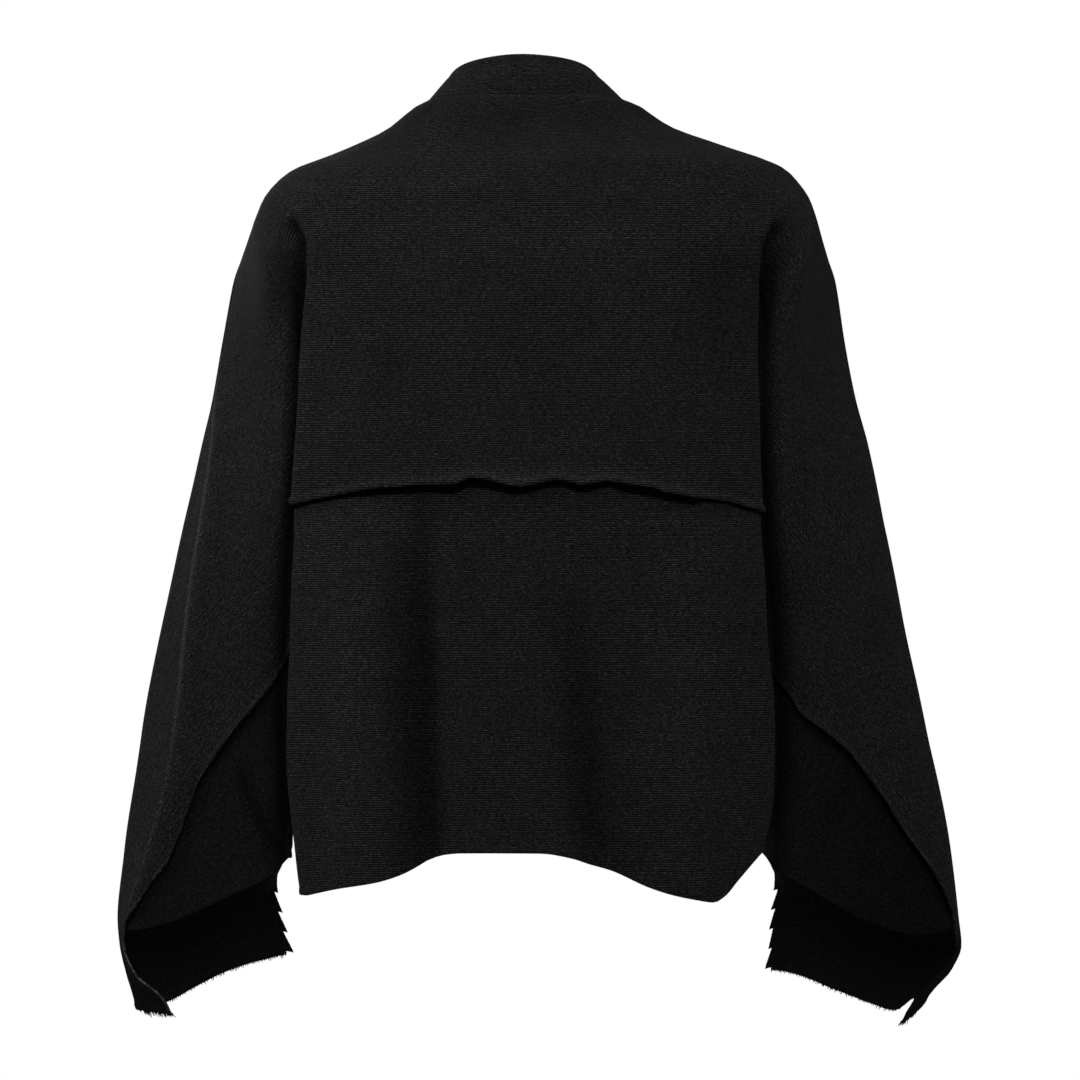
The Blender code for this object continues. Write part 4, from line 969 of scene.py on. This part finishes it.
def lower_back_patch(side):
    """Half of the lower back, from under the rolled edge to the hem."""
    t_line = runs((0, 0.32, 56), (0.32, 0.49, 40))
    lap = LAP * ease(0.40, 0.36, t_line) - 0.5 * ease(0.36, 0.40, t_line) - 2.0 * ease(
        0.40, 0.46, t_line)
    lip = lip_drop(side, t_line)
    top = lip - lap
    x_lip, x_hem = (surface(side, np.minimum(t_line, 0.34), level, False)[:, 0]
                    for level in (LIP_LEVEL, 640.0))
    k = ease(0.345, 0.47, t_line)
    hem = smooth(HEM_BACK, x_hem) * (1 - k) + HEM_SIDE[side] * k
    brim = lip + smooth(LIP_HOLLOW, x_lip)
    upper = lip + np.array(HOLLOW_ROWS, float)[:, None] * np.minimum(1, (brim - lip) / 3.2)
    upper = np.maximum(upper, top + np.arange(1, len(HOLLOW_ROWS) + 1)[:, None] * 0.2)
    edge = np.maximum(brim + np.array(BRIM_ROWS, float)[:, None], upper[-1] + 0.1)
    shares = np.append(np.linspace(0, 0.955, 84)[1:], [0.967, 0.977, 0.985, 0.991, 0.996, 1.0])
    drop = np.concatenate([top[None], upper, edge, edge[-1] + (hem - edge[-1]) * shares[:, None]])
    shape = drop.shape
    t = np.broadcast_to(t_line, shape).ravel()
    above, below = (hem - drop).ravel(), (drop - brim).ravel()
    drop = drop.ravel()
    hollow = ease(0.7, -0.6, below) * ease(0.42, 0.36, t)
    inset = LAP_INSET * ease(0.495, 0.42, t) - roll(above, 0.45) + 4.5 * hollow
    inset -= 0.5 * np.exp(-((below - 2.4) / 1.8) ** 2) * ease(0.42, 0.36, t)
    on_sleeve = np.zeros(len(t), bool)
    points, normals, tone = back_shape(side, t, drop, on_sleeve, LOWER_FOLDS, inset)
    # painted shadow in the hollow under the rolled edge, and painted light on the brim below it
    tone *= (1 - 0.7 * hollow) * (1 + 0.2 * np.exp(-(np.maximum(below, 0) / 42) ** 2))
    place = knit_place(side, t, drop, "back", on_sleeve)
    return gridded(shape, points, normals, place, tone)


lower_back = sew("lower_back_knit", [lower_back_patch(side) for side in SIDES])
declare(lower_back, "lower_back", body_knit("lower back knit"))

# ---- Under sleeves ------------------------------------------------------------------------
# A panel of the same knit below the lapped seam of each sleeve, its yarn painted darker as
# shade, from the inner side of the arm to the outer corner of the cuff, with its courses along the
# cuff's hem.

HEM_UNDER = {1: (
    (200, 637), (204, 640.5), (208.5, 645), (221, 654), (246, 665.5), (265, 674.5),
    (292, 687), (314, 695), (326, 698), (341, 700),
), -1: (
    (188, 632.5), (194, 637), (207, 649), (231, 663), (253, 676), (277, 688.5), (305, 699.5),
    (325, 702), (340, 700), (354, 696),
)}
UNDER_FOLDS = {
    1: (((9.0, 3.5), ((249, -556, 0), (243, -572, 4.0), (228, -603, 5.0), (215, -629, 3.5),
                      (208, -643, 0))),
        (9.0, ((285, -600, 0), (276, -635, -1.5), (262, -665, 0)))),
    -1: ((8.0, ((-262, -560, 0), (-248, -600, 2.0), (-226, -640, 0))),
         (10.0, ((-300, -620, 0), (-290, -650, -1.5), (-276, -678, 0)))),
}
UNDER_SHADE = {1: 0.2, -1: 0.45}        # how much darker the panel gets towards the arm
HEM_TILT = np.radians(26.0)             # of its courses


def under_sleeve_patch(side):
    """The under sleeve, from the inner side of the arm to the cuff's outer corner."""
    t_line = runs((GROOVE + 0.012, 0.56, 10), (0.56, 0.99, 54))
    lap = LAP * ease(0.58, 0.66, t_line) - 0.5 * ease(0.62, 0.58, t_line) - ease(
        0.58, 0.52, t_line)
    top = lip_drop(side, t_line) - lap
    hem = meet(side, t_line, HEM_UNDER[side], CUFF_OPEN_DROP, 704.0)
    shares = np.append(np.linspace(0, 0.94, 56), [0.955, 0.97, 0.982, 0.991, 1.0])
    drop = top + (hem - top) * shares[:, None]
    shape = drop.shape
    t = np.broadcast_to(t_line, shape).ravel()
    above, below = (hem - drop).ravel(), (drop - top - lap).ravel()
    drop = drop.ravel()
    inset = LAP_INSET * ease(0.505, 0.56, t) - roll(above, 0.35)
    points, normals, tone = back_shape(side, t, drop, np.ones(len(t), bool), UNDER_FOLDS[side],
                                       inset)
    # painted shadow just below the lapped seam, and painted shade across the panel by UNDER_SHADE
    tone *= 1 - 0.5 * ease(12.0, 2.0, below) - UNDER_SHADE[side] * ease(0.68, 0.9, t)
    along = read_arc(ARCS[side, "back", "sleeve"], (t - GROOVE) / (1 - GROOVE), drop)
    cos, sin = np.cos(HEM_TILT), np.sin(HEM_TILT)
    place = np.stack([side * (along * cos + drop * sin), along * sin - drop * cos], axis=1)
    return gridded(shape, points, normals, place, tone)


# the under sleeve's yarn is the body's yarn painted darker as shade
for side, name in SIDES.items():
    under_sleeve = sew("under_sleeve_knit_" + name, [under_sleeve_patch(side)])
    declare(under_sleeve, "under_sleeve_" + name,
            black_knit("under sleeve knit " + name, (0.0080, 0.0080, 0.0083),
                       (1.8, 1.6, 3.0, 0.8, 0.9), 0.5))

# ---- Fronts -------------------------------------------------------------------------------
# Each front is cut in one with the front of its sleeve and joined to the back along the
# shoulder and the top of the arm.  The long cuff hangs below the sleeve's back, open inside.

HEM_CUFF = {1: (
    (203, 719.5), (221, 725.5), (238, 730), (257.5, 736.5), (286.5, 750.5), (305, 760.5),
    (320, 765), (334, 765.5),
), -1: (
    (196, 734.5), (212, 737), (232.5, 743), (250, 750.5), (267, 757), (287, 764.5), (304, 769),
    (311, 767), (320, 758),
)}
CUFF_FLAP_HEM = {1: 768.0, -1: 775.5}   # drop of the hem at the cuff's outer end
FLAP_SHADE = 0.65                       # and how much darker the cloth is there
FRONT_HEM = ((1.5, 640.0), (1.62, 634.0), (1.75, 618.0), (1.88, 606.0), (2.0, 602.0))
FRONT_FOLDS = {
    1: ((24.0, ((80, -170, 0), (88, -300, 3.0), (80, -450, 4.5), (72, -600, 4.0))),
        (22.0, ((150, -240, 0), (146, -380, 2.6), (138, -600, 3.2))),
        (14.0, ((190, -250, 0), (150, -215, 2.2), (112, -190, 0))),
        (16.0, ((215, -330, 0), (250, -372, 3.0), (292, -392, 0))),
        (15.0, ((222, -430, 0), (262, -452, 3.2), (306, -452, 0))),
        (17.0, ((232, -560, 0), (276, -548, 2.6), (322, -520, 0)))),
    -1: ((23.0, ((-76, -160, 0), (-84, -310, 3.4), (-76, -460, 4.2), (-66, -600, 4.4))),
         (22.0, ((-144, -260, 0), (-140, -400, 2.4), (-130, -600, 3.0))),
         (14.0, ((-186, -240, 0), (-146, -205, 2.0), (-108, -186, 0))),
         (16.0, ((-212, -318, 0), (-250, -356, 2.8), (-296, -372, 0))),
         (15.0, ((-220, -440, 0), (-266, -466, 3.4), (-312, -470, 0))),
         (17.0, ((-236, -575, 0), (-284, -560, 2.4), (-332, -530, 0)))),
}


def cuff_drop(side, t):
    """Drop of the hem of the cuff's long front at t, 1 at the ridge and 1.5 at its inner edge."""
    t = np.atleast_1d(np.asarray(t, float))
    flap = ease(1.17, 1.0, t)
    return meet(side, t, HEM_CUFF[side], 700.0, 776.0) * (1 - flap) + CUFF_FLAP_HEM[side] * flap


def cuff_hem(side, t):
    """The same, read off between a few knots."""
    knots = np.linspace(1.0, 2 - GROOVE, 41)
    return np.interp(t, knots, cuff_drop(side, knots))


def front_patch(side, t_line, shares, top, bottom, on_sleeve):
    """One part of a front: the yoke, the sleeve below the armpit or the body below it."""
    drop = top + (bottom - top) * shares
    shape = drop.shape
    t = np.broadcast_to(t_line, shape).ravel()
    above = (bottom - drop).ravel()
    drop = drop.ravel()
    if on_sleeve is None:       # the yoke has no free lower edge
        flag = (t >= GROOVE) & (t <= 2 - GROOVE)
        normals = outward(side, t, drop)
        above += 99.0
    else:
        flag = np.full(len(t), on_sleeve)
        normals = np.where((drop <= ARMPIT_DROP + 0.001)[:, None], outward(side, t, drop),
                           outward(side, t, drop, on_sleeve))
    points = surface(side, t, drop, flag)
    depth = fold_depth(points, FRONT_FOLDS[side]) * ease(1.02, 1.12, t) * ease(2.0, 1.93, t)
    depth += uneven(points, SWELL) - roll(above, 0.4)
    points = points - normals * depth[:, None]
    seam = np.isclose(t, 1.0)
    points[seam] += inward(side, t[seam], drop[seam], 0.01) * SEAM_GAP / 2
    # painted shade where the cloth lies deeper in and on the long cuff's outer flap, painted light
    # where it stands out
    tone = np.exp(-0.05 * depth) * (1 - FLAP_SHADE * ease(695, 715, drop) * ease(1.2, 1.1, t))
    if seam.any():
        tone *= seam_highlight(points, shape, 0, side)
    place = knit_place(side, t, drop, "front", flag)
    return gridded(shape, points, normals, place, tone)


for side, name in SIDES.items():
    sleeve_t = np.append([1.0, 1.002, 1.005, 1.01], np.linspace(1.016, 2 - GROOVE, 62))
    body_t = np.linspace(2 - GROOVE, 2.0, 56)
    whole_t = np.append(sleeve_t, body_t[1:])
    down = np.append(np.linspace(0, 0.94, 76), [
        0.958, 0.970, 0.978, 0.985, 0.991, 0.996, 1.0])[:, None]
    front_piece = sew("front_knit_" + name, [
        front_patch(side, whole_t, np.linspace(0, 1, 92)[:, None] ** 1.05, neck_top(whole_t),
                    ARMPIT_DROP, None),
        front_patch(side, sleeve_t, down, ARMPIT_DROP, cuff_hem(side, sleeve_t), True),
        front_patch(side, body_t, down, ARMPIT_DROP, smooth(FRONT_HEM, body_t), False)],
        WALL, CRISP)
    declare(front_piece, "front_" + name,
            body_knit("front knit " + name))

# ---- Collar -------------------------------------------------------------------------------
# A funnel stand sewn round the neck opening and left open at the front.  It is knitted
# tighter than the body, so its surface looks pebbled.

COLLAR_WALL = 2.2
COLLAR_HEIGHT = 33.6    # of its back edge above the neck seam
COLLAR_BAND = 38.0      # width of the band
COLLAR_STEPS = 221      # places along it from one front edge to the other


def collar_ring(a, share):
    """A point of the collar; a runs from the right front edge (-2) to the left one (2)."""
    t = np.abs(a)
    side = np.where(a >= 0, 1.0, -1.0)
    base = np.where((side > 0)[:, None], neck_ring(1, t), neck_ring(-1, t))
    angle = np.radians(np.interp(t, *NECK_TURN))
    front_part = np.clip(angle / (np.pi / 2) - 1, 0, 1)
    top_x = 8.0 * (1 - 0.5 * front_part) + side * 60.0 * np.sin(angle)
    top_y = np.where(t <= 1, 45.0, 52.0) * np.cos(angle)
    top_z = COLLAR_HEIGHT - 17.0 * (1 - np.cos(angle)) - 36.0 * front_part**1.5
    bow = 2.0 * np.sin(np.pi * share)
    x = side * base[:, 0] * (1 - share) + top_x * share
    y = base[:, 1] * (1 - share) + top_y * share
    z = (0.4 - neck_top(t)) * (1 - share) + top_z * share
    return np.stack([x + bow * side * np.sin(angle) * 0.4, y + bow * np.cos(angle), z], axis=1)


def collar_patch():
    """The whole band, from a little below its seam to its edge."""
    a, share = np.meshgrid(np.linspace(-2, 2, COLLAR_STEPS), np.concatenate(
        [[-0.10, -0.06, -0.042, -0.030, 0.0, 0.02, 0.05, 0.09], np.linspace(0.14, 0.86, 14),
         [0.91, 0.95, 0.98, 1.0]]))
    shape = a.shape
    a, share = a.ravel(), share.ravel()
    points = collar_ring(a, share)
    along = collar_ring(a + 0.004, share) - collar_ring(a - 0.004, share)
    up = collar_ring(a, share + 0.02) - collar_ring(a, share - 0.02)
    normals = unit(np.cross(up, along))
    normals[:, 2] *= share > 0.01
    normals = unit(normals)
    bead = roll((1 - share) * COLLAR_BAND, 0.3) + 0.35 * uneven(points * 1.7, 0.5)
    bead += 0.25 * ease(0.03, 0.0, share) - 2.7 * ease(-0.030, -0.045, share)
    points = points + normals * bead[:, None]
    row = points.reshape(shape + (3,))[12]      # along which the stitches are measured
    around = np.append(0.0, np.cumsum(np.linalg.norm(np.diff(row, axis=0), axis=1)))
    around -= around[COLLAR_STEPS // 2]
    place = np.stack([np.tile(around, shape[0]), share * COLLAR_BAND], axis=1)
    return gridded(shape, points, normals, place, np.ones(len(a)))


collar = sew("collar_knit", [collar_patch()], COLLAR_WALL, 0.35)
declare(collar, "collar",
        black_knit("collar knit", BODY_YARN, (2.2, 2.5, 2.6, 0.9, 1.2), 0.7))

# ---- Cuff edges ---------------------------------------------------------------------------
# The long cuff fronts are cut and left raw: hooked tufts stand in a row on each open inner edge,
# and short ends of yarn fray from the hems.

TOOTH_REACH = {1: (2.8, 3.3, 3.2, 6.0), -1: (2.8, 3.2, 2.7, 2.2, 4.6)}  # from the top down
TOOTH_ENDS = 30         # ends of yarn in a tooth
TUFT_TOP = {1: 653.0, -1: 651.0}    # drop at which the row of teeth begins
YARN_SIDES = 6


def yarn(points, radii):
    """A soft tapering end of yarn along a line of points, as vertices and faces."""
    along = unit(np.gradient(points, axis=0))
    across = unit(np.cross(along, (0.13, 0.97, 0.21)))
    other = np.cross(along, across)
    s = np.arange(YARN_SIDES)
    turn = s * 2 * np.pi / YARN_SIDES
    ring = (np.cos(turn)[None, :, None] * across[:, None] + np.sin(turn)[None, :, None]
            * other[:, None]) * radii[:, None, None]
    verts = (points[:, None] + ring).reshape(-1, 3)
    n = (s + 1) % YARN_SIDES
    band = np.stack([s, n, n + YARN_SIDES, s + YARN_SIDES], axis=1)
    faces = [face for k in range(len(points) - 1) for face in (band + k * YARN_SIDES).tolist()]
    return verts, faces + [s[::-1].tolist(), (s + len(verts) - YARN_SIDES).tolist()]


def bundle(name, strands, material):
    """Many yarn ends as one piece."""
    verts, faces, first = [], [], 0
    for points, radii in strands:
        v, f = yarn(points, radii)
        verts.append(v)
        faces += [[k + first for k in face] for face in f]
        first += len(v)
    verts = np.concatenate(verts)
    even = np.ones(len(verts))
    piece = make_piece(name, verts, faces, verts[:, [0, 2]], even, even)
    piece.data.materials.append(material)
    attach(piece, "root")
    return piece


def tufts(side, luck):
    """Strands of the hooked tufts on one cuff's open inner edge."""
    top, low = TUFT_TOP[side], cuff_drop(side, 1.5)[0] - 1.5
    strands = []

    def edge_at(shares):
        """Roots of yarn down the edge, and the ways they stand off it."""
        root = surface(side, 1.5, top + (low - top) * shares, True)
        away = unit(root - surface(side, 1.494, -root[:, 2], True))
        return root, unit(away * 0.35 + np.array([-side, 0.1, 0.0]))

    teeth = len(TOOTH_REACH[side])
    rank = np.tile(np.linspace(0, 1, TOOTH_ENDS), teeth)
    shares = (np.repeat(np.arange(teeth), TOOTH_ENDS) + 0.97 * rank) / teeth
    lengths = np.repeat(TOOTH_REACH[side], TOOTH_ENDS)
    for root, away, part, full in zip(*edge_at(shares), rank, lengths):
        reach = 0.2 + (full + 0.6) * part * luck.uniform(0.95, 1.02)
        s = np.linspace(0, 1, 5)[:, None]
        wiggle = luck.normal(0, 0.06, (5, 3)) * s
        line = root - away * 1.2 + away * (1.2 + reach) * s + np.array(
            [0, 0, -1.0]) * (0.5 + 0.9 * part) * s**2 + wiggle
        strands.append((line, np.linspace(0.62, 0.38, 5)))
    for root, away in zip(*edge_at(np.linspace(0, 1, 90))):
        s = np.linspace(0, 1, 4)[:, None]
        line = root - away * 0.9 + away * luck.uniform(0.5, 0.9) * s + np.array(
            [0, 0, -0.9]) * s**2 + luck.normal(0, 0.1, (4, 3)) * s
        strands.append((line, np.linspace(0.5, 0.25, 4)))
    return strands


def hem_fray(side, luck):
    """Strands along the raw hem of one long cuff front."""
    strands = []
    t_line = np.sort(np.concatenate([np.linspace(1.0, 1.5, 150), luck.uniform(1.0, 1.09, 46),
                                     luck.uniform(1.18, 1.36, 50)]))
    hems = cuff_hem(side, t_line)
    roots = surface(side, t_line, hems - 1.0, True)
    normals = outward(side, t_line, hems - 4.0, True)
    downs = unit(surface(side, t_line, hems, True) - surface(side, t_line, hems - 3.0, True))
    for t, root, normal, down in zip(t_line, roots, normals, downs):
        root = root - normal * luck.uniform(0.5, 1.5)
        length = luck.uniform(1.4, 2.6) + (luck.uniform(0, 3.2) if t < 1.09 else 0) + (
            luck.uniform(0, 1.6) if luck.uniform() < 0.22 else 0)
        s = np.linspace(0, 1, 5)[:, None]
        lean = luck.normal(0, 0.35, 3) * s**1.5
        strands.append((root + down * length * s + lean * length * 0.5,
                        np.linspace(0.5, 0.2, 5)))
    return strands


for side, name in SIDES.items():
    luck = np.random.default_rng(7 + side)
    raw_yarn = black_knit("raw yarn " + name, (0.0095, 0.0095, 0.0098),
                          (1.1, 0.9, 0.6, 0.8, 0.6), 0.2)
    tuft_piece = bundle("cuff_tuft_yarn_" + name, tufts(side, luck), raw_yarn)
    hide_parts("cuff_tufts_" + name)
    bundle("cuff_hem_yarn_" + name, hem_fray(side, luck), raw_yarn)

# ---- Studio -------------------------------------------------------------------------------
# A white surround, a pale floor well below the garment, and soft square lights behind, at both
# sides and above, the stronger one on the wearer's left, with one in front for the hidden side.

SKY_LIGHT = 0.04        # what the surround gives as light, while the camera sees it white
FLOOR_GLOW = 0.45       # seen by the camera alone
FLOOR_Z = -1.45
LIT = np.array([0, 0, -0.35])       # the lamps are turned to the garment's middle

scene = bpy.context.scene
scene.view_settings.view_transform = "Standard"
world = bpy.data.worlds.new("white studio")
scene.world = world
world.use_nodes = True
sky = world.node_tree
backdrop = sky.nodes["Background"].inputs
backdrop["Color"].default_value = (1, 1, 1, 1)
seen = Wire(sky.nodes.new("ShaderNodeLightPath").outputs["Is Camera Ray"])
sky.links.new((seen * (1 - SKY_LIGHT) + SKY_LIGHT).socket, backdrop["Strength"])

floor = bpy.data.meshes.new("floor")
floor.from_pydata([(x, y, FLOOR_Z) for x, y in ((-3, -3), (3, -3), (3, 3), (-3, 3))], [],
                  [(0, 1, 2, 3)])
floor_piece = bpy.data.objects.new("studio_floor", floor)
scene.collection.objects.link(floor_piece)
pale = bpy.data.materials.new("pale floor")
pale.use_nodes = True
paint = pale.node_tree.nodes["Principled BSDF"].inputs
for label, value in (("Base Color", (0.8, 0.8, 0.8, 1)), ("Roughness", 0.9),
                     ("Emission Color", (1, 1, 1, 1))):
    paint[label].default_value = value
seen = Wire(pale.node_tree.nodes.new("ShaderNodeLightPath").outputs["Is Camera Ray"])
pale.node_tree.links.new((seen * FLOOR_GLOW).socket, paint["Emission Strength"])
floor.materials.append(pale)

for name, place, size, power in (
        ("behind", (0.0, 2.356, 0.749), 1.6, 16.7), ("left", (1.923, 0.409, 1.027), 1.2, 21.4),
        ("right", (-1.923, 0.409, 1.027), 1.2, 11.8), ("above", (0.458, 0.654, 1.151), 1.0, 9.2),
        ("front", (0.8, -2.9, 0.2), 1.8, 28)):
    light = bpy.data.lights.new(name, "AREA")
    light.size, light.energy = size, power
    lamp = bpy.data.objects.new(name, light)
    scene.collection.objects.link(lamp)
    lamp.location = place
    x, y, z = LIT - place
    lamp.rotation_euler = (np.arctan2(np.hypot(x, y), -z), 0, np.arctan2(x, -y) + np.pi)

camera = bpy.data.cameras.new("camera")
camera.lens, camera.sensor_width = 238.1, 36.0
camera_piece = bpy.data.objects.new("camera", camera)
scene.collection.objects.link(camera_piece)
camera_piece.location = (-0.00588, 6.0, -0.3721)
camera_piece.rotation_euler = (np.pi / 2, 0, np.pi)
scene.camera = camera_piece
